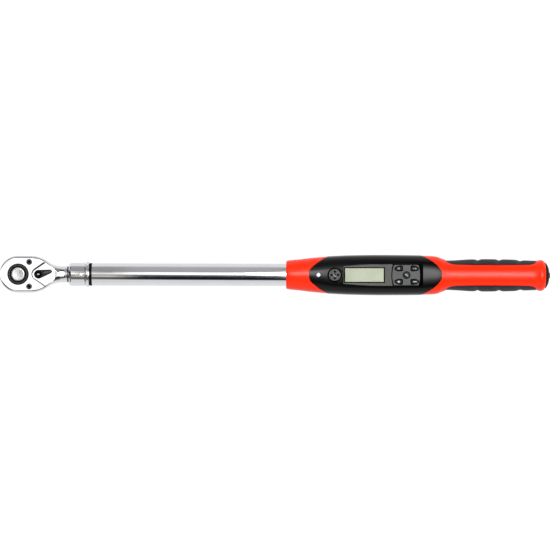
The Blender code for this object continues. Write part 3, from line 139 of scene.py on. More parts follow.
CHANNEL_RADIUS = high("main_tube").y + 0.4
REST_FLAT_Z = low("lower_shell").z
COVER_THICKNESS = 2.2
COVER_PROUD = 0.2
COVER_RECESS = 2.5
PAD_THICKNESS = 1.5
PAD_RECESS = 1.4
PAD_ROWS = 197
PAD_STEP = 0.5
PANEL_X = low("lcd_bezel").x - 1
BEZEL_BEVEL = 0.2124
ABOVE_ALL = AXIS_Z + 30
# Plan edges of the console cover and of the pads: x and half width
BOAT_FRONT = ((306.9, 0.4), (307.1, 3.2), (308.6, 6.9), (312.6, 10.7), (318.8, 15.1), (327, 19.9),
              (334, 23.5))
BOAT_REAR = ((421, 23.5), (427.8, 19.6), (435.8, 15.2), (441.2, 10.8), (444.8, 6.6), (446.2, 3.2),
             (446.4, 0.4))
PAD_EDGE = ((449.6, 17.2), (451.5, 14.6), (454.6, 12.6), (459.5, 11.6), (470, 11.45), (536, 11.45),
            (542, 11.9), (546, 13.6), (547.8, 15.8))
# How far the pads stand out at x
PAD_STATIONS = ((449, 15.9), (454, 15.6), (460, 15.8), (468, 16.3), (478, 16.9), (492, 17.2), (500, 17.15),
                (512, 17), (522, 16.75), (530, 16.3), (538, 15.9), (548, 15.5))
# Finger notches: x, depth and width
FINGER_NOTCHES = ((485.8, 1.2, 2.6), (508.3, 1.2, 2.6), (530.6, 1, 2.8))


# ---------------------------------------------------------------- materials

def add_node(tree, kind, output, settings=(), **inputs):
    """A shader node's output; each input is a socket to link or a value to set."""
    node = tree.nodes.new("ShaderNode" + kind)
    for name, value in settings:
        setattr(node, name, value)
    for name, value in inputs.items():
        socket = node.inputs[name.replace("_", " ")]
        if isinstance(value, bpy.types.NodeSocket):
            tree.links.new(value, socket)
        else:
            socket.default_value = value
    return node.outputs[output]


def spread(tree, factor, from_low, from_high, to_low=0, to_high=1):
    """Maps a factor from one range to another, clamped."""
    return add_node(tree, "MapRange", "Result", Value=factor, From_Min=from_low, From_Max=from_high,
                    To_Min=to_low, To_Max=to_high)


def mix_colours(tree, factor, first, second):
    """Mixes two colours by a factor."""
    return add_node(tree, "Mix", "Result", (("data_type", "RGBA"),), A=first, B=second, Factor=factor)


class Finish:
    """A Principled material in the making, whose patterns lie in object space."""

    def __init__(self, name, **sockets):
        self.material = bpy.data.materials.new(name)
        self.material.use_nodes = True
        self.tree = self.material.node_tree
        self.inputs = self.tree.nodes["Principled BSDF"].inputs
        self.place = self.tree.nodes.new("ShaderNodeTexCoord").outputs["Object"]
        for socket, value in sockets.items():
            self.inputs[socket.replace("_", " ")].default_value = value

    def noise(self, scale, detail=3, roughness=0.55, stretch=None):
        """A noise texture's factor at a scale in cycles a metre, optionally stretched along the axes."""
        place = self.place
        if stretch:
            place = add_node(self.tree, "Mapping", "Vector", Scale=stretch, Vector=place)
        return add_node(self.tree, "TexNoise", "Fac", Vector=place, Scale=scale, Detail=detail,
                        Roughness=roughness)

    def link(self, value, name):
        """Links a socket to the shader."""
        self.tree.links.new(value, self.inputs[name])

    def colour(self, factor, first, second):
        """The base colour: a mix of two colours by a factor."""
        self.link(mix_colours(self.tree, factor, (*first, 1), (*second, 1)), "Base Color")

    def rough(self, factor, from_low, from_high, rough):
        """The roughness: a factor's range mapped to a range of roughness."""
        self.link(spread(self.tree, factor, from_low, from_high, *rough), "Roughness")

    def bump(self, height, strength, distance):
        """A bump from a height, after any bump that is already there."""
        before = {"Normal": link.from_socket for link in self.inputs["Normal"].links}
        self.link(add_node(self.tree, "Bump", "Normal", Strength=strength, Distance=distance * MM,
                           Height=height, **before), "Normal")


def shade(colour, share, lift=0):
    """A colour made darker or lighter."""
    return tuple(min(1, c * share + lift) for c in colour)


def chrome(name, colour=(0.665, 0.67, 0.685), rough=(0.035, 0.085)):
    """Polished chrome plate: faint clouding in the polish, hairline scuffs and a slight orange peel."""
    f = Finish(name, Metallic=1)
    f.colour(spread(f.tree, f.noise(60, 4), 0.35, 0.65), shade(colour, 0.97), colour)
    f.rough(f.noise(900, 4, 0.6, (0.08, 1, 1)), 0.35, 0.75, rough)
    f.bump(f.noise(140, 2), 0.05, 0.02)
    return f.material


def dark_steel(name):
    """Blackened steel: mottled oxide, satin, with brighter rubbed spots."""
    f = Finish(name, Metallic=0.85)
    colour = (0.026, 0.0255, 0.025)
    mottle = f.noise(700, 5)
    f.colour(spread(f.tree, mottle, 0.55, 0.8, 0, 0.6), colour, shade(colour, 2.5, 0.01))
    f.rough(mottle, 0.3, 0.7, (0.3, 0.45))
    f.bump(f.noise(2600), 0.15, 0.03)
    return f.material


def satin_steel(name, colour=(0.56, 0.56, 0.55)):
    """Turned steel: fine rings about the drive's axis, with light dents of handling."""
    f = Finish(name, Metallic=1)
    rings = (("wave_type", "RINGS"), ("rings_direction", "Z"))
    wave = add_node(f.tree, "TexWave", "Fac", rings, Scale=900, Distortion=0.6, Detail=2, Vector=f.place)
    blotch = f.noise(420, 4)
    f.colour(spread(f.tree, blotch, 0.35, 0.7), shade(colour, 0.82), shade(colour, 1.1))
    f.rough(blotch, 0.3, 0.7, (0.42, 0.55))
    f.bump(wave, 0.12, 0.02)
    f.bump(blotch, 0.25, 0.06)
    return f.material


def moulded(name, colour, rough, grain, depth, tint, specular=0.5):
    """Moulded plastic or rubber: a fine spark-eroded grain and slow changes of shade and gloss."""
    f = Finish(name, Specular_IOR_Level=specular)
    f.colour(spread(f.tree, f.noise(35), 0.35, 0.65), shade(colour, 1 - tint), shade(colour, 1 + tint))
    fine = f.noise(grain, 3, 0.6)
    f.rough(fine, 0.3, 0.7, rough)
    f.bump(fine, 0.35, depth)
    return f.material


def display_glass(name):
    """The liquid-crystal panel: pale green, slightly uneven in shade."""
    f = Finish(name, Specular_IOR_Level=0.1)
    f.colour(spread(f.tree, f.noise(45, 2), 0.35, 0.65), (0.57, 0.62, 0.46), (0.62, 0.665, 0.51))
    f.rough(f.noise(300), 0.3, 0.7, (0.3, 0.38))
    return f.material


def clear_pane(name):
    """The clear satin pane over the display."""
    f = Finish(name, Base_Color=(0, 0, 0, 1), Alpha=0.1, Specular_IOR_Level=0.1)
    f.rough(f.noise(200), 0.3, 0.7, (0.16, 0.22))
    return f.material


def lamp_lens(name):
    """A milky lens, a little cloudy."""
    f = Finish(name)
    slow = f.noise(500, 2)
    f.colour(slow, (0.8, 0.8, 0.84), (0.93, 0.93, 0.95))
    f.rough(slow, 0.3, 0.7, (0.1, 0.18))
    return f.material


MATERIALS = {
    "chrome": chrome("polished_chrome"),
    "dark_steel": dark_steel("black_oxide_steel"),
    "satin_steel": satin_steel("satin_steel"),
    "spring_steel": chrome("ground_spring_steel", (0.6, 0.6, 0.62), (0.2, 0.32)),
    "brass": chrome("satin_brass", (0.8, 0.58, 0.24), (0.2, 0.34)),
    "red_plastic": moulded("orange_red_plastic", (0.93, 0.025, 0.003), (0.18, 0.23), 2200, 0.02, 0.03, 0.19),
    "black_plastic": moulded("black_satin_plastic", (0.0013, 0.0013, 0.0015), (0.18, 0.23), 2000, 0.02,
                             0.2, 0.2),
    "black_rubber": moulded("black_grip_rubber", (0.01, 0.012, 0.0155), (0.5, 0.62), 1500, 0.06, 0.18, 0.3),
    "grey_plastic": moulded("grey_satin_plastic", (0.084, 0.083, 0.077), (0.38, 0.48), 2400, 0.02, 0.06, 0.1),
    "keypad_grey": moulded("keypad_elastomer", (0.086, 0.089, 0.091), (0.45, 0.55), 2600, 0.03, 0.08, 0.12),
    "key_black": moulded("key_elastomer", (0.019, 0.019, 0.0195), (0.42, 0.52), 2600, 0.03, 0.15, 0.08),
    "lcd_green": display_glass("lcd_panel"),
    "clear_pane": clear_pane("clear_pane"),
    "board_green": moulded("solder_mask", (0.02, 0.14, 0.06), (0.25, 0.4), 1200, 0.02, 0.2),
    "lamp_white": lamp_lens("milky_lens"),
    "cell_jacket": moulded("cell_sleeve", (0.08, 0.17, 0.3), (0.2, 0.3), 600, 0.01, 0.1),
    "gauge_film": moulded("gauge_film", (0.7, 0.36, 0.07), (0.3, 0.4), 1500, 0.01, 0.15),
    "lead_grey": moulded("lead_insulation", (0.3, 0.3, 0.31), (0.45, 0.55), 1500, 0.02, 0.05),
}
# Light grey for the printed signs on the keys; also the painted glint across the grille's middle hole.
KEY_PRINT_AND_GLINT = moulded("key_print_and_glint", (0.34, 0.34, 0.33), (0.5, 0.6), 3000, 0.01, 0.05)
LEVER_PRINT = moulded("lever_print", (0.42, 0.42, 0.41), (0.4, 0.5), 3000, 0.01, 0.05)
# Painted highlight: a lighter grey for the top of the lever's rib, where light falls on it.
RIB_TOP_PAINTED_HIGHLIGHT = moulded("rib_top_painted_highlight", (0.06, 0.06, 0.06), (0.4, 0.5), 3000, 0.01, 0.1, 0.1)
# Painted shade: a near-black laid on recess floors, in gaps and in holes where shade falls.
PAINTED_SHADE_BLACK = moulded("painted_shade_black", (0.0015, 0.0015, 0.0017), (0.6, 0.7), 1500, 0.02, 0.2, 0)
# Deep black for the black parts; also the painted shade on the top of the drive hub's collar round the
# button.
DEEP_BLACK = moulded("deep_black", (0.003, 0.003, 0.0033), (0.4, 0.5), 1800, 0.02, 0.2, 0.04)
# Painted highlight: a lighter steel for the finger ring's inner chamfer, where light catches it.
RING_CHAMFER_PAINTED_HIGHLIGHT = satin_steel("ring_chamfer_painted_highlight", (0.1, 0.1, 0.097))
# Painted shade: a dark brownish steel for one of the shade lines along the lever notch.
NOTCH_PAINTED_SHADE = satin_steel("notch_painted_shade", (0.1, 0.085, 0.07))
FINISH_OF = dict.fromkeys(("spacer_ring", "neck_seal", "lever_cap", "end_cap"), DEEP_BLACK)
FINISH_OF["release_button"] = satin_steel("button_steel", (0.4, 0.4, 0.395))
FINISH_OF["collar_pin"] = satin_steel("pin_steel", (0.62, 0.56, 0.5))


# ---------------------------------------------------------------- mesh tools

def place_piece(obj, node, smooth_angle=32):
    """Shades a piece, gives it the finish and body of the CAD node that it stands for, and hides that node.
    """
    slot = SLOT_OF[node]
    obj.data.materials.clear()
    obj.data.materials.append(FINISH_OF.get(node, MATERIALS[slot]))
    obj.data.shade_smooth()
    obj.data.set_sharp_from_angle(angle=radians(smooth_angle))
    modified(obj, "WEIGHTED_NORMAL", keep_sharp=True, weight=100)
    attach(obj, BODY_OF[node])
    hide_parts(node)
    return obj


def object_from_bmesh(name, bm):
    """Turns a bmesh in millimetres into an object of the scene."""
    bmesh.ops.recalc_face_normals(bm, faces=bm.faces)
    mesh = bpy.data.meshes.new(name)
    bm.to_mesh(mesh)
    bm.free()
    mesh.transform(Matrix.Scale(MM, 4))
    obj = bpy.data.objects.new(name, mesh)
    bpy.context.scene.collection.objects.link(obj)
    return obj


def modified(obj, kind, **values):
    """Replaces an object's mesh by the result of one modifier."""
    modifier = obj.modifiers.new(kind, kind)
    for name, value in values.items():
        setattr(modifier, name, value)
    graph = bpy.context.evaluated_depsgraph_get()
    graph.update()
    mesh = bpy.data.meshes.new_from_object(obj.evaluated_get(graph), depsgraph=graph)
    obj.modifiers.clear()
    old = obj.data
    obj.data = mesh
    bpy.data.meshes.remove(old)
    return obj


def combine(obj, cutter, operation="DIFFERENCE"):
    """Cuts or joins with another object, and removes that object."""
    modified(obj, "BOOLEAN", operation=operation, solver="EXACT", object=cutter)
    bpy.data.objects.remove(cutter)
    return obj


def bevelled(obj, width, segments=3, angle=40, clamp=True):
    """Rounds an object's sharp edges."""
    return modified(obj, "BEVEL", width=width * MM, segments=segments, limit_method="ANGLE",
                    angle_limit=radians(angle), harden_normals=False, use_clamp_overlap=clamp)


def thickened(obj, thickness, outward):
    """Gives a skin a thickness away from the outward direction at its middle."""
    if obj.data.polygons[len(obj.data.polygons) // 2].normal.dot(outward) < 0:
        obj.data.flip_normals()
    return modified(obj, "SOLIDIFY", thickness=thickness * MM, offset=-1)


def filleted(profile, count=4):
    """Rounds the corners of a profile of (along, radius) or (along, radius, fillet) points."""
    points = []
    total = len(profile)
    for i, (along, radius, *fillet) in enumerate(profile):
        here = Vector((along, radius))
        if not fillet:
            points.append(here)
            continue
        before = Vector(profile[i - 1][:2]) - here
        after = Vector(profile[(i + 1) % total][:2]) - here
        back = min(fillet[0] / tan(before.angle(after) / 2), before.length * 0.49, after.length * 0.49)
        start = here + before.normalized() * back
        end = here + after.normalized() * back
        for step in range(count + 1):
            t = step / count
            points.append((start * (1 - t) ** 2) + (here * 2 * t * (1 - t)) + (end * t ** 2))
    return points


def revolved(name, profile, closed=False, along_x=False, middle=(0, 0), steps=FINE, ridges=None):
    """A profile of (along, radius, fillet) points turned about an upright axis, or about the tool's own axis.

    Where ridges is (count, depth, first, last), the profile's points between those distances along the axis
    and near the outside get shallow ridges, as a knurl or coin edge has.
    """
    def point(along, radius, angle):
        if along_x:
            return (along, radius * cos(angle), AXIS_Z + radius * sin(angle))
        return (middle[0] + radius * cos(angle), middle[1] + radius * sin(angle), along)

    points = filleted(profile)
    bm = bmesh.new()
    rings = []
    widest = max(p[1] for p in points)
    for along, radius in points:
        if radius < 1e-7:
            rings.append([bm.verts.new(point(along, 0, 0))])
            continue
        ring = []
        for i in range(steps):
            angle = TURN * i / steps
            r = radius
            if ridges and ridges[2] <= along <= ridges[3] and radius > widest - 3 * ridges[1]:
                r += ridges[1] * (0.5 * cos(angle * ridges[0]) - 0.5)
            ring.append(bm.verts.new(point(along, r, angle)))
        rings.append(ring)
    for near, far in zip(rings, rings[1:] + rings[:1] if closed else rings[1:]):
        bridge(bm, near, far)
    return object_from_bmesh(name, bm)


def bridge(bm, first, second):
    """Faces between two closed rings of equal count, or between a ring and a single point."""
    count = max(len(first), len(second))
    if count == 1:
        return
    for i in range(count):
        j = (i + 1) % count
        if len(first) == 1:
            bm.faces.new((first[0], second[j], second[i]))
        elif len(second) == 1:
            bm.faces.new((first[i], first[j], second[0]))
        else:
            bm.faces.new((first[i], first[j], second[j], second[i]))


def skin(bm, rows):
    """Faces between open rows of equal count."""
    for near, far in zip(rows, rows[1:]):
        for i in range(len(near) - 1):
            bm.faces.new((near[i], near[i + 1], far[i + 1], far[i]))


def lofted(name, sections):
    """A closed body through rings of points of equal count."""
    bm = bmesh.new()
    rings = [[bm.verts.new(point) for point in section] for section in sections]
    for near, far in zip(rings, rings[1:]):
        bridge(bm, near, far)
    bm.faces.new(rings[0])
    bm.faces.new(rings[-1])
    return object_from_bmesh(name, bm)


def frustum(name, lower_outline, upper_outline, bottom, top):
    """A body between two plan outlines of equal count."""
    return lofted(name, ([(x, y, bottom) for x, y in lower_outline], [(x, y, top) for x, y in upper_outline]))


def prism(name, outline, bottom, top):
    """A flat-ended prism of a plan outline."""
    return frustum(name, outline, outline, bottom, top)


def rod(start, end, radius, steps, end_radius=None):
    """A plain cylinder or cone between two points."""
    start = Vector(start)
    end = Vector(end)
    bm = bmesh.new()
    place = Matrix.Translation((start + end) / 2) @ (end - start).to_track_quat("Z", "Y").to_matrix().to_4x4()
    bmesh.ops.create_cone(bm, cap_ends=True, segments=steps, radius1=radius,
                          radius2=radius if end_radius is None else end_radius,
                          depth=(end - start).length, matrix=place)
    return object_from_bmesh("rod", bm)


def cut(piece, outline, bottom, top):
    """Cuts a prism out of a piece."""
    return combine(piece, prism("cutter", outline, bottom, top))


def drill(piece, place, bottom, top, radius, steps=FINE, top_radius=None):
    """Cuts an upright round hole, or a cone, out of a piece."""
    return combine(piece, rod((*place, bottom), (*place, top), radius, steps, top_radius))


def add_body(obj, other, material):
    """Moves another object's mesh into a piece, in a material of its own."""
    bm = bmesh.new()
    bm.from_mesh(obj.data)
    first = len(bm.faces)
    bm.from_mesh(other.data)
    if material.name not in [m.name for m in obj.data.materials]:
        obj.data.materials.append(material)
    index = [m.name for m in obj.data.materials].index(material.name)
    bm.faces.ensure_lookup_table()
    for face in bm.faces[first:]:
        face.material_index = index
    bm.to_mesh(obj.data)
    bm.free()
    bpy.data.objects.remove(other)


def add_print(obj, material, outline, bottom, top):
    """Joins a raised print of another material to a piece."""
    add_body(obj, prism("print", outline, bottom, top), material)


def paint_between(piece, material, inner, outer, above):
    """Paints a piece's upward faces between two radii from the drive's axis in a second material; it lays
    painted highlight and painted shade.
    """
    piece.data.materials.append(material)
    for polygon in piece.data.polygons:
        x, y, z = polygon.center / MM
        if inner < hypot(x, y) < outer and z > above and polygon.normal.z > 0.2:
            polygon.material_index = len(piece.data.materials) - 1


def arc(middle, radius, start, end, count):
    """Points on an arc in plan, both ends included."""
    angles = [start + (end - start) * i / (count - 1) for i in range(count)]
    return [(middle[0] + radius * cos(a), middle[1] + radius * sin(a)) for a in angles]


def circle(middle, radius, count):
    """Points round a circle in plan."""
    return arc(middle, radius, 0, TURN * (count - 1) / count, count)


def rectangle(x0, y0, x1, y1):
    """The corners of a rectangle in plan."""
    return [(x0, y0), (x1, y0), (x1, y1), (x0, y1)]


def capsule(near_x, far_x, radius, count):
    """A bar with round ends in plan, along x."""
    far = arc((far_x, 0), radius, -QUARTER, QUARTER, count)
    return far + arc((near_x, 0), radius, QUARTER, TURN - QUARTER, count)


def mirrored(half):
    """A closed outline from its half at positive y."""
    return list(half) + [(x, -y) for x, y in reversed(half) if y > 0.01]


def box_outline(start_x, end_x, half_width, corner):
    """A rounded rectangle in plan, symmetric about the tool's axis."""
    half = arc((start_x + corner, half_width - corner), corner, pi, QUARTER, 6)
    half += arc((end_x - corner, half_width - corner), corner, QUARTER, 0, 6)
    return mirrored(half)


def turned_points(points, angle, middle=(0, 0)):
    """Plan points turned about the origin and then moved."""
    c = cos(angle)
    s = sin(angle)
    return [(middle[0] + x * c - y * s, middle[1] + x * s + y * c) for x, y in points]


def smooth_curve(points):
    """A smooth function of x through (x, value) points, that never overshoots them."""
    xs, ys = zip(*points)
    secants = [(b - a) / (d - c) for a, b, c, d in zip(ys, ys[1:], xs, xs[1:])]
    slopes = [0 if a * b <= 0 else 2 * a * b / (a + b) for a, b in zip(secants, secants[1:])]
    slopes = [secants[0], *slopes, secants[-1]]

    def value(x):
        x = min(max(x, xs[0]), xs[-1])
        i = 0
        while i < len(xs) - 2 and x > xs[i + 1]:
            i += 1
        width = xs[i + 1] - xs[i]
        t = (x - xs[i]) / width
        return (ys[i] * (1 + 2 * t) * (1 - t) ** 2 + ys[i + 1] * t * t * (3 - 2 * t)
                + slopes[i] * width * t * (1 - t) ** 2 - slopes[i + 1] * width * t * t * (1 - t))
    return value


def step_up(value, start, end):
    """A smooth step from 0 at start to 1 at end."""
    t = min(max((value - start) / (end - start), 0), 1)
    return t * t * (3 - 2 * t)


# ---------------------------------------------------------------- ratchet head

def head_half_width(x):
    """Half the head's plan width: round nose, straight cheek, convex then concave shoulder, round neck."""
    run = NECK_START_X - HEAD_CHEEK_END_X
    slope = 2 * atan2(HEAD_RADIUS - NECK_RADIUS, run)
    both_radii = run / sin(slope)
    convex = both_radii * HEAD_CONVEX_SHARE
    concave = both_radii - convex
    if x < HEAD_NOSE_X:
        return sqrt(max(HEAD_RADIUS ** 2 - (x - HEAD_NOSE_X) ** 2, 0))
    if x < HEAD_CHEEK_END_X:
        return HEAD_RADIUS
    if x < HEAD_CHEEK_END_X + convex * sin(slope):
        return HEAD_RADIUS - convex + sqrt(convex ** 2 - (x - HEAD_CHEEK_END_X) ** 2)
    if x < NECK_START_X:
        return NECK_RADIUS + concave - sqrt(concave ** 2 - (NECK_START_X - x) ** 2)
    return NECK_RADIUS


def head_fall(x):
    """How far the head has fallen from its full thickness to the round neck, from 0 to 1."""
    share = (x - HEAD_FALL_START_X) / (NECK_ROUND_X - HEAD_FALL_START_X)
    return 0.5 - 0.5 * cos(pi * min(max(share, 0), 1))


def rounded_section(x, half_width, half_height, corner, corner_points=13):
    """A rounded rectangle across the tool's axis."""
    corner = min(corner, half_width - 0.01, half_height - 0.01)
    section = []
    for index, (side_y, side_z) in enumerate(CORNERS):
        for step in range(corner_points):
            angle = QUARTER * (index + step / (corner_points - 1))
            y = side_y * (half_width - corner) + corner * cos(angle)
            z = side_z * (half_height - corner) + corner * sin(angle)
            section.append((x, y, AXIS_Z + z))
    return section


def head_outline(inset, end_x):
    """The head's plan outline moved inwards, up to a straight edge at end_x."""
    half = arc((HEAD_NOSE_X, 0), HEAD_RADIUS - inset, pi, QUARTER, 48)
    x = HEAD_CHEEK_END_X
    while x < end_x - HEAD_STEP / 2:
        half.append((x, head_half_width(x) - inset))
        x += HEAD_STEP
    half.append((end_x, head_half_width(end_x) - inset))
    return mirrored(half)


def make_head():
    """The forged head, neck, shank and beam, with the pocket for the cover plate."""
    nose_angles = (1.5, 4, 7, 10, 14, 18, 22, 27, 32, *range(37, 90, 5))
    places = [HEAD_NOSE_X - HEAD_RADIUS * cos(radians(a)) for a in nose_angles] + [HEAD_NOSE_X]
    x = HEAD_CHEEK_END_X
    while x < NECK_END_X:
        places.append(x)
        x += HEAD_STEP
    sections = []
    for x in places:
        fall = head_fall(x)
        half_height = HEAD_HALF_THICKNESS + (NECK_RADIUS - HEAD_HALF_THICKNESS) * fall
        corner = HEAD_EDGE_RADIUS + (NECK_RADIUS - HEAD_EDGE_RADIUS) * fall
        sections.append(rounded_section(x, head_half_width(x), half_height, corner))
    sections.append(rounded_section(NECK_END_X, NECK_RADIUS - 0.3, NECK_RADIUS - 0.3, NECK_RADIUS))
    for x in (NECK_END_X + 0.01, SHANK_END_X):
        sections.append(rounded_section(x, SHANK_RADIUS, SHANK_RADIUS, SHANK_RADIUS))
    for x in (SHANK_END_X + 0.01, high("head_body").x):
        sections.append(rounded_section(x, BEAM_HALF_WIDTH, BEAM_HALF_HEIGHT, 1))
    head = lofted("head_forging", sections)
    floor_z = AXIS_Z - 8.8
    cut(head, head_outline(PLATE_INSET, 44), DECK_Z, HEAD_TOP_Z + 1)
    drill(head, (0, 0), floor_z, HEAD_TOP_Z + 1, 15)
    drill(head, (0, 0), HEAD_UNDERSIDE_Z - 1, AXIS_Z, 10.3)
    drill(head, LEVER_AT, floor_z, HEAD_TOP_Z, 2.9, 48)
    place_piece(head, "head_body", 28)


def make_cover_plate():
    """The plate over the ratchet with softened edges, its lever notch and its holes, and painted shade along
    the notch.
    """
    top = HEAD_TOP_Z - 0.05
    plate = prism("ratchet_cover_plate", head_outline(PLATE_INSET + PLATE_GAP, 30.5), DECK_Z + 0.05, top)
    drill(plate, (0, 0), DECK_Z - 1, HEAD_TOP_Z + 1, high("spinner_ring").x + 0.15)
    for node in ("plate_screw_1", "plate_screw_2"):
        drill(plate, centre(node).xy, DECK_Z - 1, top + 0.2, 1.05, 48, 3.3)
    cut(plate, notch_outline(-0.1), DECK_Z - 1, HEAD_TOP_Z + 1)
    rim = [(x - 0.3, y + 0.3) for x, y in notch_outline(1.25)]
    combine(plate, frustum("notch_chamfer", notch_outline(-0.15), rim, top - 0.5, top + 0.02))
    bevelled(plate, 0.1)
    place_piece(plate, "cover_plate", 28)
    # Painted shade: the notch's chamfer faces are painted dark, black oxide on one side and the front arc and
    # dark brown on the other side, as the shade lines at the plate's edge.
    plate.data.materials.append(MATERIALS["dark_steel"])
    plate.data.materials.append(NOTCH_PAINTED_SHADE)
    for polygon in plate.data.polygons:
        x, y = (polygon.center / MM).xy
        if 0.85 < polygon.normal.z < 0.99 and x > 14 + abs(y) * 0.2:
            polygon.material_index = 1 if polygon.normal.y < 0.12 else 2


def notch_outline(offset):
    """The V notch round the lever in plan, moved outwards."""
    tangent = QUARTER + NOTCH_HALF_ANGLE
    reach = 24
    front = arc(LEVER_AT, NOTCH_RADIUS + offset, tangent, TURN - tangent, 40)
    along = (cos(NOTCH_HALF_ANGLE) * reach, sin(NOTCH_HALF_ANGLE) * reach)
    outline = [(front[0][0] + along[0], front[0][1] + along[1])] + front
    return outline + [(front[-1][0] + along[0], front[-1][1] - along[1])]


def make_plate_screws():
    """Two countersunk screws, each with a six-lobed recess whose floor is painted black as shade."""
    for node in ("plate_screw_1", "plate_screw_2"):
        x, y = centre(node).xy
        bottom, top = heights(node)
        radius = high(node).x - x
        screw = revolved(node + "_fine", (
            (bottom, 0), (bottom, 1.3, 0.2), (top - 1.6, 1.4), (top - 0.2, radius, 0.12),
            (top, radius - 0.25, 0.1), (top, 0)), middle=(x, y), steps=64)
        lobes = []
        for i in range(60):
            angle = TURN * i / 60
            reach = 1.45 + 0.27 * cos(6 * angle)
            lobes.append((reach * cos(angle), reach * sin(angle)))
        cut(screw, [(x + a, y + b) for a, b in lobes], top - 1.3, top + 1)
        place_piece(screw, node)
        # Painted shade: a black floor in the recess, where shade falls.
        floor = [(x + a * 0.97, y + b * 0.97) for a, b in lobes]
        add_print(screw, PAINTED_SHADE_BLACK, floor, top - 1.35, top - 0.9)


def make_drive():
    """The square drive with rounded edges, its hub, the ratchet teeth and the collar round the button."""
    gear_top = AXIS_Z + 5.5
    teeth = 36
    outline = []
    for i in range(2 * teeth):
        angle = TURN * i / (2 * teeth)
        radius = 14.4 if i % 2 else 13.4
        outline.append((radius * cos(angle), radius * sin(angle)))
    gear = prism("square_drive", outline, AXIS_Z - 8.5, gear_top)
    collar_top = high("drive_gear").z
    square_top = 15.4
    hub = 9.9
    shoulder = AXIS_Z + 10.6
    pocket_floor = AXIS_Z + 8
    combine(gear, revolved("core", (
        (square_top, 0), (square_top, hub - 0.4, 0.5), (square_top + 1.2, hub), (gear_top - 1, hub),
        (gear_top - 1, 11.2), (shoulder, 11.2, 0.3), (shoulder, 8.4), (collar_top, 8.4, 0.25),
        (collar_top, 7.55, 0.2), (pocket_floor, 7.55), (pocket_floor, 0))), "UNION")
    half = 6.35
    corner = 1.1
    square = []
    for index, (side_x, side_y) in enumerate(CORNERS):
        start = QUARTER * index
        square += arc((side_x * (half - corner), side_y * (half - corner)), corner, start, start + QUARTER, 7)
    block = prism("block", square, 0, AXIS_Z - 6)
    combine(gear, bevelled(block, 0.7, 4, 60), "UNION")
    drill(gear, (0, 0), 1, pocket_floor + 1, 2.9, 48)
    ball_z = centre("detent_ball").z
    combine(gear, rod((0, 1, ball_z), (0, half + 1, ball_z), 2.35, 48))
    place_piece(gear, "drive_gear")
    # Painted shade: the top of the hub's collar round the button is painted black as the shaded gap there.
    paint_between(gear, DEEP_BLACK, 7.2, 8.6, AXIS_Z + 9)


def make_button_and_ring():
    """The finger ring with its knurled land, the dished release button and the detent ball."""
    bottom, top = heights("spinner_ring")
    outer = high("spinner_ring").x
    land = 9.75
    ring = revolved("finger_ring", (
        (bottom, 8.7), (bottom, outer), (top - 1.5, outer, 0.3), (top - 0.35, land + 0.25, 0.1),
        (top - 0.35, land), (top, land - 0.1, 0.1), (top, 9.25, 0.05), (top - 0.4, 8.7),
    ), True, steps=288, ridges=(48, 0.14, bottom + 0.5, top - 0.5))
    place_piece(ring, "spinner_ring", 40)
    # Painted highlight: the ring's inner chamfer is painted a lighter steel where light catches it.
    paint_between(ring, RING_CHAMFER_PAINTED_HIGHLIGHT, 8.6, 9.3, top - 0.6)
    bottom, top = heights("release_button")
    radius = high("release_button").x
    stem = 2.6
    button = revolved("release_button_fine", (
        (top - 0.35, 0), (top - 0.3, 2), (top - 0.1, 4.6, 0.5), (top, 5.9, 0.4),
        (top - 0.25, radius - 0.3, 0.25), (top - 0.9, radius, 0.3), (top - 3.4, radius, 0.2),
        (top - 3.4, stem), (14, stem), (12.6, 1.5, 0.2), (9, 1.5, 0.2), (6.5, stem), (bottom, stem, 0.2),
        (bottom, 0)))
    place_piece(button, "release_button")
    ball_at = centre("detent_ball")
    bm = bmesh.new()
    bmesh.ops.create_uvsphere(bm, u_segments=40, v_segments=24, radius=high("detent_ball").z - ball_at.z,
                              matrix=Matrix.Translation(ball_at))
    place_piece(object_from_bmesh("detent_ball_fine", bm), "detent_ball")


def make_release_spring():
    """The coil under the release button, built at one length; in the tool it shortens as the button goes
    down.
    """
    start = low("release_spring")
    end = high("release_spring")
    wire = 0.3
    turns = 2.5
    steps = 100
    rings = []
    for i in range(steps + 1):
        angle = TURN * turns * i / steps
        height = start.z + wire + (end.z - start.z - 2 * wire) * i / steps
        ring = []
        for k in range(12):
            around = TURN * k / 12
            reach = end.x - wire + wire * cos(around)
            ring.append((reach * cos(angle), reach * sin(angle), height + wire * sin(around)))
        rings.append(ring)
    spring = place_piece(lofted("release_spring_fine", rings), "release_spring", 60)
    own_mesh(spring)


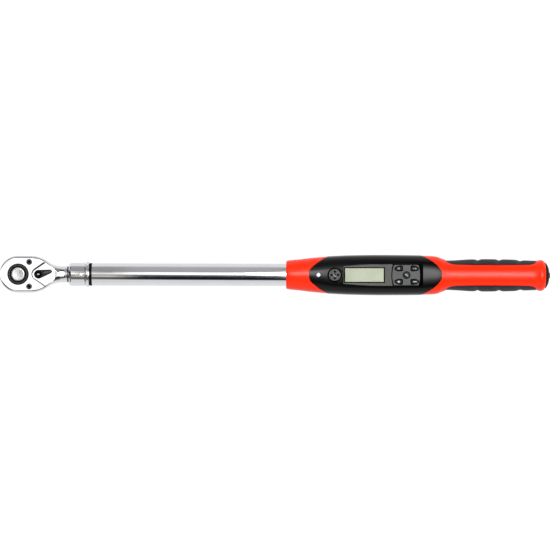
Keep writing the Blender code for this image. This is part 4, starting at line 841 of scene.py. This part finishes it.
def make_lever():
    """The reversing lever with its thumb rib, and the cap at its pivot."""
    bottom = low("reverse_lever").z
    top = DECK_Z + 3
    rib_top = high("reverse_lever").z
    hub = 4.7
    tip = 1.9
    tip_x = 14.8 - tip
    taper = atan2(hub - tip, tip_x)

    def on_lever(points):
        return turned_points(points, LEVER_TURN, LEVER_AT)

    outline = arc((0, 0), hub, QUARTER - taper, TURN - QUARTER + taper, 40)
    outline += arc((tip_x, 0), tip, taper - QUARTER, QUARTER - taper, 16)
    lever = prism("reversing_lever", on_lever(outline), bottom, top)
    bevelled(lever, 0.45, 4)
    raised = prism("rib", on_lever(capsule(hub + 1.9, tip_x - 0.3, 1.2, 12)), top - 1.2, rib_top - 0.05)
    combine(lever, bevelled(raised, 0.4, 4), "UNION")
    island = on_lever(capsule(hub + 1.9, tip_x - 0.3, 0.95, 14))
    trench = prism("trench", on_lever(capsule(hub + 1.6, tip_x - 0.2, 1.75, 14)), top - 0.7, rib_top + 1)
    combine(lever, cut(trench, island, top - 1, rib_top + 2))
    drill(lever, LEVER_AT, top - 1, rib_top + 1, 4.05, 64)
    drill(lever, LEVER_AT, bottom - 1, top, 2.75, 48)
    place_piece(lever, "reverse_lever")
    # Painted highlight: the rib's top is painted lighter grey where light catches it.
    add_print(lever, RIB_TOP_PAINTED_HIGHLIGHT, island, rib_top - 0.1, rib_top)
    bottom, top = heights("lever_cap")
    radius = high("lever_cap").x - LEVER_AT[0]
    cap = revolved("lever_pivot_cap", (
        (bottom, 0), (bottom, radius, 0.1), (top - 0.15, radius, 0.1), (top, radius - 0.25, 0.1),
        (top - 0.9, radius - 2.6, 0.3), (top - 0.95, 0)), middle=LEVER_AT, steps=64)
    place_piece(cap, "lever_cap")
    arrow = ((-1, 0), (-0.35, 0.55), (-0.35, 0.2), (0.35, 0.2), (0.35, 0.55), (1, 0),
             (0.35, -0.55), (0.35, -0.2), (-0.35, -0.2), (-0.35, -0.55))
    add_print(cap, LEVER_PRINT, on_lever([(x * 1.5, y * 1.5) for x, y in arrow]), top - 0.97, top - 0.3)


# ---------------------------------------------------------------- neck and tube

def plain_ring(name, node, bore, near_fillet, far_fillet, steps=FINE):
    """A ring or tube along the tool, as long and as wide as a CAD node."""
    start = low(node).x
    end = high(node).x
    radius = high(node).y
    profile = ((start, bore), (start, radius, near_fillet), (end, radius, far_fillet), (end, bore))
    return revolved(name, profile, True, True, steps=steps)


def make_neck_and_tube():
    """The seal, collar, pin, spacer ring and tube, turned finely."""
    place_piece(plain_ring("neck_seal_fine", "neck_seal", 8, 0.35, 0.35), "neck_seal")
    nose = low("collar").x
    far = high("collar").x
    flange = high("collar").y
    flange_end = low("spacer_ring").x - 0.3
    flange_start = flange_end - 2.8
    radius = 12.37
    collar = revolved("collar_fine", (
        (nose, 8), (nose, 9, 0.4), (nose + 0.6, 10.8, 1.2), (nose + 1.8, radius - 0.35, 1.2),
        (nose + 3.2, radius, 1.2), (flange_start - 1.6, radius, 0.1), (flange_start - 0.8, radius - 1.2, 0.1),
        (flange_start, radius - 0.2, 0.1), (flange_start, flange, 0.45), (flange_end, flange, 0.45),
        (flange_end, 9.7), (far, 9.7, 0.3), (far, 8)), True, True)
    at = (centre("collar_pin").x, 0)
    radius = high("collar_pin").x - at[0]
    drill(collar, at, AXIS_Z - 16, AXIS_Z + 16, radius + 0.2, 40)
    place_piece(collar, "collar")
    bottom, top = heights("collar_pin")
    pin = revolved("collar_pin_fine", ((bottom, 0), (bottom, radius, 0.3), (top, radius, 0.3), (top, 0)),
                   middle=at, steps=40)
    place_piece(pin, "collar_pin")
    place_piece(plain_ring("spacer_ring_fine", "spacer_ring", 10, 0.3, 0.3), "spacer_ring")
    tube = plain_ring("tube_fine", "main_tube", 10, 0.3, 0.2, 160)
    for start, end in ((352, 360), (419, 429)):
        cut(tube, rectangle(start, -3, end, 3), AXIS_Z + 4, AXIS_Z + 13)
    place_piece(tube, "main_tube")


# ---------------------------------------------------------------- housing

HALF_WIDTH, HEIGHT, DEPTH, POWER = (smooth_curve([(s[0], s[i]) for s in BODY_STATIONS]) for i in range(1, 5))
PAD_WIDTH = smooth_curve(PAD_STATIONS)
PAD_LIMIT = smooth_curve(PAD_EDGE)


def ellipse_point(x, angle, half_width, top, bottom, power):
    """A point of a squared ellipse across the tool's axis; the angle is 90 degrees at the top."""
    c = cos(angle)
    s = sin(angle)
    y = half_width * copysign(abs(c) ** (2 / power), c)
    z = (top if s >= 0 else bottom) * copysign(abs(s) ** (2 / power), s)
    return Vector((x, y, AXIS_Z + z))


def body_point(x, angle, outward=0):
    """A point of the housing's surface, moved outwards."""
    return ellipse_point(x, angle, HALF_WIDTH(x) + outward, HEIGHT(x) + outward, DEPTH(x) + outward, POWER(x))


def dense_curve(points, spacing=0.4):
    """Plan points along a smooth curve through given points."""
    points = [Vector(p) for p in points]
    padded = [2 * points[0] - points[1], *points, 2 * points[-1] - points[-2]]
    result = []
    for a, b, c, d in zip(padded, padded[1:], padded[2:], padded[3:]):
        steps = max(2, round((c - b).length / spacing))
        for i in range(steps):
            t = i / steps
            square = (2 * a - 5 * b + 4 * c - d) * t * t
            result.append(tuple(0.5 * (2 * b + (c - a) * t + square + (3 * b - a - 3 * c + d) * t ** 3)))
    return result + [tuple(points[-1])]


BOAT_EDGE = [*dense_curve(BOAT_FRONT), *((x, BOAT_FRONT[-1][1]) for x in range(336, 421, 2)),
             *dense_curve(BOAT_REAR)]


def boat_half_width(x):
    """Half the plan width of the console cover at x, or less than zero outside it."""
    if BOAT_EDGE[0][0] < x < BOAT_EDGE[-1][0]:
        for (x0, y0), (x1, y1) in zip(BOAT_EDGE, BOAT_EDGE[1:]):
            if x0 <= x <= x1:
                return y0 + (y1 - y0) * (x - x0) / max(x1 - x0, 1e-6)
    return -1000


def recess_depth(x, y, above):
    """How deep the shells are cut at a place for the console cover's edge and the grip pads."""
    depth = 0
    reach = boat_half_width(x)
    if above and reach > 0:
        ends = min(x - BOAT_EDGE[0][0], BOAT_EDGE[-1][0] - x)
        depth = COVER_RECESS * step_up(reach - abs(y), 0.1, 0.9) * step_up(ends, 0.1, 0.8)
    ends = min(x - PAD_EDGE[0][0], PAD_EDGE[-1][0] - x)
    if ends >= 0:
        depth += PAD_RECESS * step_up(abs(y) - PAD_LIMIT(x), 0.1, 0.8) * step_up(ends, 0, 0.8)
    return depth


def shell_places():
    """The x of each row of the shells: closer together where the outline turns."""
    places = [s[0] for s in BODY_STATIONS[:4]]
    x = places[-1] + 0.8
    while x < 555:
        places.append(x)
        x += 0.8 if x < 549 else 0.5
    return places + [555.3, 555.8, 556.2, 556.45, 556.6, 556.7]


def make_shell(node, above):
    """One half of the red housing, recessed under the console cover and the grip pads."""
    columns = 121
    seam = 0.35
    bm = bmesh.new()
    outer_rows = []
    inner_rows = []
    for x in shell_places():
        outer = []
        inner = []
        hidden = step_up(boat_half_width(x) - HALF_WIDTH(x), -0.3, 1.2)
        for i in range(columns):
            angle = radians(seam + (180 - 2 * seam) * i / (columns - 1))
            if not above:
                angle = -angle
            recess = recess_depth(x, body_point(x, angle).y, above)
            if not above:
                recess = 0.55 * hidden + recess_depth(x, body_point(x, angle, -recess).y, above)
            point = body_point(x, angle, -recess)
            if not above:
                point.z = max(point.z, REST_FLAT_Z)
            outer.append(bm.verts.new(point))
            inner.append(bm.verts.new((x, CHANNEL_RADIUS * cos(angle), AXIS_Z + CHANNEL_RADIUS * sin(angle))))
        outer_rows.append(outer)
        inner_rows.append(inner)
    skin(bm, outer_rows)
    skin(bm, inner_rows)
    for end in (0, -1):
        skin(bm, ([row[end] for row in outer_rows], [row[end] for row in inner_rows]))
        skin(bm, (outer_rows[end], inner_rows[end]))
    shell = object_from_bmesh(node + "_fine", bm)
    if above:
        cut(shell, panel_outline(PANEL_X - 1, 428.5, 0.4), AXIS_Z + 6, ABOVE_ALL)
        cut(shell, rectangle(low("circuit_board").x - 1, -8, 344, 8), AXIS_Z + 6, ABOVE_ALL)
    else:
        for i in range(1, 5):
            drill(shell, centre("housing_screw_%d" % i).xy, AXIS_Z - 25, AXIS_Z - 4, 2.3, 40)
    place_piece(shell, node, 35)


def panel_outline(start_x, end_x, margin, corner=1.2):
    """The plan outline of the display opening: it widens along the display and has rounded corners."""
    wide = 11.3 + margin
    half = arc((start_x + corner, 9.35 + margin - corner), corner, pi, QUARTER, 6)
    half += [(x, y + margin) for x, y in ((350, 9.9), (360, 10.65), (372, 11.2), (386, 11.3))]
    half += arc((end_x - corner, wide - corner), corner, QUARTER, 0, 6)
    return mirrored(half)


def make_console_cover():
    """The black boat-shaped cover: a skin that follows the housing's surface, with rounded edges."""
    columns = 97
    seam_angle = radians(1.2)
    bm = bmesh.new()
    rows = []
    last_x = -1
    for x, reach in BOAT_EDGE:
        if x - last_x < 0.12:
            continue
        last_x = x
        half_width = HALF_WIDTH(x) + COVER_PROUD
        start = seam_angle
        if reach < half_width:
            start = max(seam_angle, acos((reach / half_width) ** (POWER(x) / 2)))
        angles = [start + (pi - 2 * start) * i / (columns - 1) for i in range(columns)]
        rows.append([bm.verts.new(body_point(x, angle, COVER_PROUD)) for angle in angles])
    skin(bm, rows)
    cover = thickened(object_from_bmesh("console_cover_fine", bm), COVER_THICKNESS, Vector((0, 0, 1)))
    bevelled(cover, 0.3, 3, 55)
    start_x = PANEL_X - 0.3
    cut(cover, panel_outline(start_x, 426.8, 0.35, 2.2), AXIS_Z + 10, ABOVE_ALL)
    x = centre("buzzer_grille").x
    surface = AXIS_Z + HEIGHT(x) + COVER_PROUD
    drill(cover, (x, 0), AXIS_Z + 10, ABOVE_ALL, 7.85)
    drill(cover, (x + 0.5, 0), surface - 0.5, surface + 0.5, 7.75, FINE, 10.1)
    drill(cover, (centre("lamp_lens").x, 0), AXIS_Z + 10, ABOVE_ALL, high("lamp_lens").y, 48)
    place_piece(cover, "console_cover", 12)
    # Painted shade: a black sheet under the display opening, so that the gaps round the bezel and the keypad
    # look shaded.
    shade_sheet_top = AXIS_Z + 16.6
    shade_sheet = prism("shade_sheet", panel_outline(start_x - 1.5, 428.3, 1.7, 2.2), shade_sheet_top - 0.8, shade_sheet_top)
    for near, far in ((low("lcd_bezel").x, 388), (397.5, 421.8)):
        cut(shade_sheet, rectangle(near, -9, far, 9), shade_sheet_top - 2, shade_sheet_top + 1)
    add_body(cover, shade_sheet, PAINTED_SHADE_BLACK)
    # Painted shade: a black ring in the dish round the grille, where shade falls.
    bottom = AXIS_Z + 14.9
    moat = ((bottom, 6.3), (bottom, 8.2), (bottom + 0.5, 8.2), (bottom + 0.5, 6.3, 0.2))
    add_body(cover, revolved("moat", moat, True, middle=(x, 0)), PAINTED_SHADE_BLACK)


def notch_depth(x, angle_from_side):
    """How deep the finger notches cut a pad at x; each notch leans back from the pad's top edge."""
    lean = 5 * sin(angle_from_side)
    return sum(deepest * exp(-((x - at + lean) / width) ** 2) for at, deepest, width in FINGER_NOTCHES)


def make_grip_pads():
    """The two rubber pads, each a skin round one side of the grip with leaning finger notches."""
    columns = 81
    for node, side in (("grip_pad_left", 1), ("grip_pad_right", -1)):
        bm = bmesh.new()
        rows = []
        for step in range(PAD_ROWS):
            x = PAD_EDGE[0][0] + 0.1 + PAD_STEP * step
            width = PAD_WIDTH(x)
            top = HEIGHT(x) + 0.15
            edge_angle = max(acos(min(PAD_LIMIT(x) / width, 0.999)), radians(4))
            row = []
            for i in range(columns):
                angle = edge_angle * (2 * i / (columns - 1) - 1)
                fade = step_up(edge_angle - abs(angle), 0, radians(14))
                bulge = width - notch_depth(x, angle) * (0.35 + 0.65 * fade)
                point = ellipse_point(x, angle, bulge, top, top, 2)
                point.y *= side
                row.append(bm.verts.new(point))
            rows.append(row)
        skin(bm, rows)
        pad = thickened(object_from_bmesh(node + "_fine", bm), PAD_THICKNESS, Vector((0, side, 0)))
        bevelled(pad, 0.35, 3, 55)
        place_piece(pad, node, 40)


def make_housing_screws():
    """Four pan screws in the underside, each with a crossed recess."""
    for i in range(1, 5):
        node = "housing_screw_%d" % i
        place = tuple(centre(node).xy)
        bottom, top = heights(node)
        screw = revolved(node + "_fine", (
            (bottom, 0), (bottom, 2, 0.6), (bottom + 1.5, 2, 0.1), (bottom + 1.5, 1), (top - 0.8, 1),
            (top, 0.6, 0.1), (top, 0)), middle=place, steps=48)
        for turn in (0, QUARTER):
            bar = turned_points(rectangle(-1.1, -0.25, 1.1, 0.25), turn, place)
            cut(screw, bar, bottom - 1, bottom + 0.8)
        place_piece(screw, node)


# ---------------------------------------------------------------- display and keypad

def edge_bow(x, bulge, half_width, count=17):
    """Points of an end edge that bows by bulge, from +y to -y."""
    shares = [1 - 2 * i / (count - 1) for i in range(count)]
    return [(x + bulge * (1 - share ** 2), half_width * share) for share in shares]


def make_display():
    """The bezel, window and display module, with a dark border painted on the module as the shade of the
    window's recess.
    """
    bottom, top = heights("lcd_bezel")
    bezel = prism("display_bezel", panel_outline(PANEL_X, 400, 0, 0.8), bottom, top)
    cut(bezel, edge_bow(high("lcd_bezel").x, -2, 13) + [(405, -13), (405, 13)], bottom - 1, top + 1)
    start = PANEL_X + 0.45
    end = 386.6
    half_width = 8.25
    cut(bezel, box_outline(start, end, half_width, 0.8), bottom - 1, top + 1)
    bevelled(bezel, BEZEL_BEVEL, clamp=False)
    place_piece(bezel, "lcd_bezel")
    pane = prism("display_window", box_outline(start + 0.15, end - 0.15, half_width - 0.15, 0.7),
                 *heights("lcd_window"))
    bevelled(pane, 0.12, 2)
    place_piece(pane, "lcd_window")
    near = low("lcd_module")
    far = high("lcd_module")
    outline = box_outline(min(near.x, start - 0.2), far.x, max(far.y, half_width), 0.3)
    module = prism("lcd_module_fine", outline, near.z, far.z)
    bevelled(module, 0.15, 2)
    place_piece(module, "lcd_module")
    # Painted shade: black strips round the module's top, where the recessed window's edges throw shade.
    left, right, side = 344.8, 385.3, 7.1
    for corners in ((start, -half_width, left, half_width), (right, -half_width, end, half_width),
                    (left, side, right, half_width), (left, -half_width, right, -side)):
        add_print(module, PAINTED_SHADE_BLACK, rectangle(*corners), far.z - 0.01, far.z + 0.1)


def make_grille_and_lamp():
    """The buzzer grille with its five holes, and the lamp's domed lens."""
    place = (centre("buzzer_grille").x, 0)
    bottom, top = heights("buzzer_grille")
    radius = high("buzzer_grille").y
    grille = revolved("buzzer_grille_fine", (
        (bottom, 0), (bottom, radius), (top - 0.1, radius, 0.25), (top, radius - 0.5, 0.15),
        (top - 0.25, radius - 1, 0.15), (top - 0.15, 0)), middle=place)
    holes = [place] + arc(place, 3.4, 0, TURN * 0.75, 4)
    floor_z = top - 1.4
    for hole in holes:
        drill(grille, hole, floor_z, top + 1, 1.35, 32)
    place_piece(grille, "buzzer_grille")
    # Painted shade: each hole gets a black floor where shade falls inside it.
    for hole in holes:
        add_print(grille, PAINTED_SHADE_BLACK, circle(hole, 1.34, 32), floor_z, floor_z + 0.5)
    # Painted highlight: a light streak across the middle hole, standing in for a glint there.
    painted_glint = turned_points([(-1.9, -0.3), (1.9, -0.45), (1.9, 0.45), (-1.9, 0.3)], radians(-45),
                          (place[0] - 0.3, -0.6))
    add_print(grille, KEY_PRINT_AND_GLINT, painted_glint, floor_z, top - 0.1)
    place = (centre("lamp_lens").x, 0)
    bottom = low("lamp_lens").z
    radius = high("lamp_lens").y * 0.86
    dome = 0.9
    profile = [(bottom, 0), (bottom, radius)]
    for i in range(9):
        angle = QUARTER * i / 8
        profile.append((high("lamp_lens").z - dome + dome * sin(angle), radius * cos(angle)))
    lamp = revolved("lamp_lens_fine", profile, middle=place, steps=48)
    place_piece(lamp, "lamp_lens", 60)


def key_outline(length, width, facing):
    """A key's plan outline: blunt towards the keypad's middle, and drawn out to a tip on the other side."""
    half = ((-0.5, 0.3), (-0.47, 0.42), (-0.38, 0.485), (-0.2, 0.5), (0, 0.48), (0.15, 0.43), (0.3, 0.34),
            (0.4, 0.24), (0.46, 0.15), (0.5, 0.05))
    points = [(facing * x * length, y * width) for x, y in half]
    points += [(x, -y) for x, y in reversed(points)]
    return points if facing < 0 else list(reversed(points))


# The signs on the keys, in plan: a ring with a hair-thin opening, an arrow, a step, a bar and a slanted pair
KEY_MARKS = {
    "corner_key_1": [arc((0, 0), 1.05, 0.02, TURN - 0.02, 28) + arc((0, 0), 0.63, TURN - 0.02, 0.02, 28)],
    "corner_key_2": [[(-2.2, 0), (0.3, -1.2), (2, 0), (0.3, 1.2)]],
    "corner_key_3": [[(0.3, 0.9), (0.3, -0.9), (2, 0)], rectangle(-1.6, -0.25, -0.4, 0.25)],
    "corner_key_4": [rectangle(-1.9, -0.55, 2.1, 0.55)],
    "centre_key": [[(-1.9, 0.9), (-1.2, 1.6), (1.9, -0.9), (1.4, -1.6)],
                   [(0.4, 1.1), (1.3, 1.6), (1.6, 1.2), (0.7, 0.7)]],
}


def make_keypad():
    """The keypad panel and its five keys, with raised printed signs."""
    bottom, top = heights("keypad_panel")
    half_width = high("keypad_panel").y
    left = edge_bow(low("keypad_panel").x + 2.6, -2, half_width)
    right = edge_bow(high("keypad_panel").x - 1.6, 1.6, half_width)
    panel = prism("keypad_panel_fine", list(reversed(left)) + right, bottom, top)
    bevelled(panel, 0.35, 3, 30)
    floors = []
    for node, marks in KEY_MARKS.items():
        place = centre(node)
        key_top = high(node).z
        if node == "centre_key":
            at = tuple(place.xy)
            radius = high(node).y
            outline = circle(at, radius - 0.35, 64)
            wider = circle(at, radius + 0.45, 64)
        else:
            inward = 1 if place.x < centre("centre_key").x else -1
            lean = radians(5) * (inward if place.y > 0 else -inward)
            at = (place.x - (0.5 if inward > 0 else -0.2), place.y)
            outline = turned_points(key_outline(6.7, 3.9, -inward), lean, at)
            wider = turned_points(key_outline(9.1, 6.3, -inward), lean, at)
        cut(panel, wider, bottom + 0.2, top + 1)
        floors.append(wider)
        key = prism(node + "_fine", outline, low(node).z, key_top)
        bevelled(key, 0.5, 4)
        place_piece(key, node)
        for mark in marks:
            add_print(key, KEY_PRINT_AND_GLINT, turned_points(mark, 0, at), key_top - 0.05, key_top + 0.03)
    place_piece(panel, "keypad_panel")
    # Painted shade: black floors in the rooms round the keys, where shade falls in the gaps.
    for floor in floors:
        add_print(panel, PAINTED_SHADE_BLACK, floor, bottom + 0.1, bottom + 0.25)


def make_end_cap():
    """The battery cap with its stepped face, coin slot, plug and seal groove."""
    start = low("end_cap").x
    end = high("end_cap").x
    radius = high("end_cap").y
    groove = centre("cap_seal").x
    face = 557.1
    well = 555
    plug = 11.9
    nub = 2.9
    cap = revolved("battery_cap", (
        (end, 0), (end, nub, 0.35), (end - 0.9, nub + 0.1, 0.15), (end - 1.1, 5.2, 1), (end - 1.6, 7.8, 1),
        (end - 2.5, 10.3, 1), (end - 3.8, 12.5, 1), (face + 0.5, radius, 0.5), (face, radius - 0.2, 0.15),
        (face, plug), (groove + 1, plug), (groove + 1, 10.6), (groove - 1, 10.6), (groove - 1, plug),
        (start, plug, 0.3), (start, 8.6, 0.3), (well, 8.6), (well, 0)), along_x=True)
    cut(cap, rectangle(end - 2, -radius, end + 1, radius), AXIS_Z - 1, AXIS_Z + 1)
    place_piece(cap, "end_cap")


# ---------------------------------------------------------------- stage

SENSOR = 36
PICTURE_WIDTH = 0.583
CAMERA_HEIGHT = 2.4
CAMERA_AT = (0.2709, -0.0002, AXIS_Z * MM + CAMERA_HEIGHT)
CAMERA_TURN = radians(0.14)

# Each sky goes round the tool's long axis: the angle from straight up in degrees, and how bright it is there
WHITE = (0.98, 0.98, 1)
SKY_PEAK = 12
SKY_OVER_HEAD = (
    (-180, WHITE), (-75, WHITE), (-62, (0.85, 0.85, 0.86)), (-54, (0.3, 0.29, 0.29)), (-42, 0.05),
    (-22, 0.03), (-14, 0.2), (-10, 1.95), (20, 1.95), (28, (0.4, 0.4, 0.41)), (46, (0.42, 0.41, 0.43)),
    (76, (0.62, 0.61, 0.64)), (94, WHITE), (180, WHITE))
SKY_OVER_COLLAR = (
    (-180, WHITE), (-72, WHITE), (-62, 0.9), (-54, (0.28, 0.27, 0.25)), (-43, (0.08, 0.075, 0.065)),
    (-34, (0.36, 0.35, 0.33)), (-25, (1, 0.92, 0.85)), (-19, (1, 0.92, 0.85)), (-12, (0.26, 0.23, 0.21)),
    (-6, (0.6, 0.54, 0.5)), (-2, (1.3, 1.22, 1.18)), (4, (1.25, 1.18, 1.14)), (10, (0.7, 0.68, 0.66)),
    (18, (0.4, 0.4, 0.39)), (38, 0.4), (74, 0.46), (98, WHITE), (180, WHITE))
SKY_OVER_TUBE = (
    (-180, WHITE), (-75, WHITE), (-61, (0.92, 0.92, 0.94)), (-56, 0.12), (-51, (0.02, 0.022, 0.025)),
    (-40, (0.003, 0.006, 0.012)), (-30, (0.012, 0.022, 0.04)), (-20, (0.09, 0.1, 0.11)), (-12, 0.2),
    (-7, 0.5), (-3, 1.9), (15, 1.9), (23, (0.5, 0.5, 0.495)), (40, 0.56), (74, 0.6), (94, WHITE),
    (180, WHITE))
SKY_OVER_HOUSING = (
    (-180, WHITE), (-75, WHITE), (-63, (0.8, 0.8, 0.81)), (-55, 0.1), (-44, 0.1), (-36, 0.3), (-28, 0.8),
    (-20, 1.7), (-12, 3.4), (-5, 7.6), (0, 11.2), (12, 12), (18, 9.6), (24, 6), (32, 2.2), (42, 0.45),
    (52, 0.06), (62, 0.08), (74, 0.6), (90, WHITE), (180, WHITE))
SKY_TOWARDS_GRIP = (
    (-180, (2.4, 2.4, 2.45)), (-80, 2.2), (-62, 0.6), (-48, 0.1), (-14, 0.1), (-4, 3), (8, 3), (18, 1.2),
    (60, 1.3), (95, (2.3, 2.3, 2.35)), (180, (2.4, 2.4, 2.45)))
# Where one sky gives way to the next along the tool: start and end in degrees, and the next sky
SKY_CHANGES = ((-5.28, -5.2, SKY_OVER_COLLAR), (-4, -3.6, SKY_OVER_TUBE), (0.25, 0.6, SKY_OVER_HOUSING),
               (26, 30, SKY_TOWARDS_GRIP))


def make_floor():
    """A pale floor just under the tool that glows softly, so that it stays white round the tool."""
    bm = bmesh.new()
    bmesh.ops.create_grid(bm, x_segments=2, y_segments=2, size=6 / MM)
    floor = object_from_bmesh("floor", bm)
    floor.location.z = CAD_BOX[0][2] - 0.0005
    finish = Finish("pale_floor", Base_Color=(0.06, 0.06, 0.06, 1), Roughness=0.9, Specular_IOR_Level=0,
                    Emission_Color=(1, 1, 1, 1), Emission_Strength=0.98)
    floor.data.materials.append(finish.material)


def calculate(tree, operation, *values):
    """A math node's result; each value is a socket or a number."""
    node = tree.nodes.new("ShaderNodeMath")
    node.operation = operation
    for socket, value in zip(node.inputs, values):
        if isinstance(value, bpy.types.NodeSocket):
            tree.links.new(value, socket)
        else:
            socket.default_value = value
    return node.outputs["Value"]


def sky_ramp(tree, angle, stops):
    """A colour ramp over an angle in radians; a stop's colour may be a single grey."""
    ramp = tree.nodes.new("ShaderNodeValToRGB")
    elements = ramp.color_ramp.elements
    while len(elements) < len(stops):
        elements.new(0.5)
    for element, (degrees, colour) in zip(elements, stops):
        if isinstance(colour, (int, float)):
            colour = (colour, colour, colour)
        element.position = (degrees + 180) / 360
        element.color = (*(c / SKY_PEAK for c in colour), 1)
    tree.links.new(spread(tree, angle, -pi, pi), ramp.inputs["Fac"])
    return ramp.outputs["Color"]


def make_world():
    """A studio of soft panels whose light changes round the tool and along it, and is dim past its ends."""
    world = bpy.data.worlds.new("studio")
    bpy.context.scene.world = world
    world.use_nodes = True
    tree = world.node_tree
    background = tree.nodes["Background"]
    place = tree.nodes.new("ShaderNodeTexCoord").outputs["Generated"]
    x, y, z = (add_node(tree, "SeparateXYZ", name, Vector=place) for name in "XYZ")
    along = calculate(tree, "ARCSINE", x)
    twist = calculate(tree, "MULTIPLY", calculate(tree, "MINIMUM", along, 0), 1.3)
    across = calculate(tree, "ADD", calculate(tree, "ARCTAN2", y, z), twist)

    def over(start, end, to_low=0, to_high=1):
        return spread(tree, along, radians(start), radians(end), to_low, to_high)

    sky = sky_ramp(tree, across, SKY_OVER_HEAD)
    for start, end, stops in SKY_CHANGES:
        sky = mix_colours(tree, over(start, end), sky, sky_ramp(tree, across, stops))
    tree.links.new(sky, background.inputs["Color"])
    lit = calculate(tree, "MULTIPLY", over(-26, -15, 0.2, 1), over(16, 32, 1, 0.25))
    tree.links.new(calculate(tree, "MULTIPLY", lit, SKY_PEAK), background.inputs["Strength"])


def add_light(name, place, size, size_y, energy):
    """A rectangular lamp that faces down."""
    data = bpy.data.lights.new(name, "AREA")
    data.shape = "RECTANGLE"
    data.size = size
    data.size_y = size_y
    data.energy = energy
    light = bpy.data.objects.new(name, data)
    light.location = place
    bpy.context.scene.collection.objects.link(light)
    return light


def make_lights():
    """A broad fill that doesn't show in the metal, and a small light that only glints on the nose."""
    fill = add_light("fill", (0.27, 0.1, 1.9), 2.2, 2.2, 11)
    fill.rotation_euler = Vector((0, -0.1, -1.9)).to_track_quat("-Z", "Y").to_euler()
    fill.visible_glossy = False
    strip = add_light("strip", (0.275, 0.041, 0.3), 0.075, 0.085, 0.19)
    strip.visible_diffuse = False


def make_camera():
    """A long lens straight above the tool, turned a little as the tool lies."""
    data = bpy.data.cameras.new("camera")
    data.sensor_width = SENSOR
    data.lens = SENSOR * CAMERA_HEIGHT / PICTURE_WIDTH
    data.clip_end = 50
    camera = bpy.data.objects.new("camera", data)
    camera.location = CAMERA_AT
    camera.rotation_euler = (0, 0, CAMERA_TURN)
    bpy.context.scene.collection.objects.link(camera)
    bpy.context.scene.camera = camera


def dress_cad_nodes():
    """Gives every CAD node its procedural material; those that stay visible show it."""
    for node, obj in frame["nodes"].items():
        for slot in obj.material_slots:
            slot.material = MATERIALS[SLOT_OF[node]]


make_camera()
dress_cad_nodes()
make_head()
make_cover_plate()
make_plate_screws()
make_drive()
make_button_and_ring()
make_release_spring()
make_lever()
make_neck_and_tube()
make_shell("upper_shell", True)
make_shell("lower_shell", False)
make_console_cover()
make_grip_pads()
make_housing_screws()
make_display()
make_grille_and_lamp()
make_keypad()
make_end_cap()
make_floor()
make_world()
make_lights()
bpy.context.scene.view_settings.view_transform = "Standard"
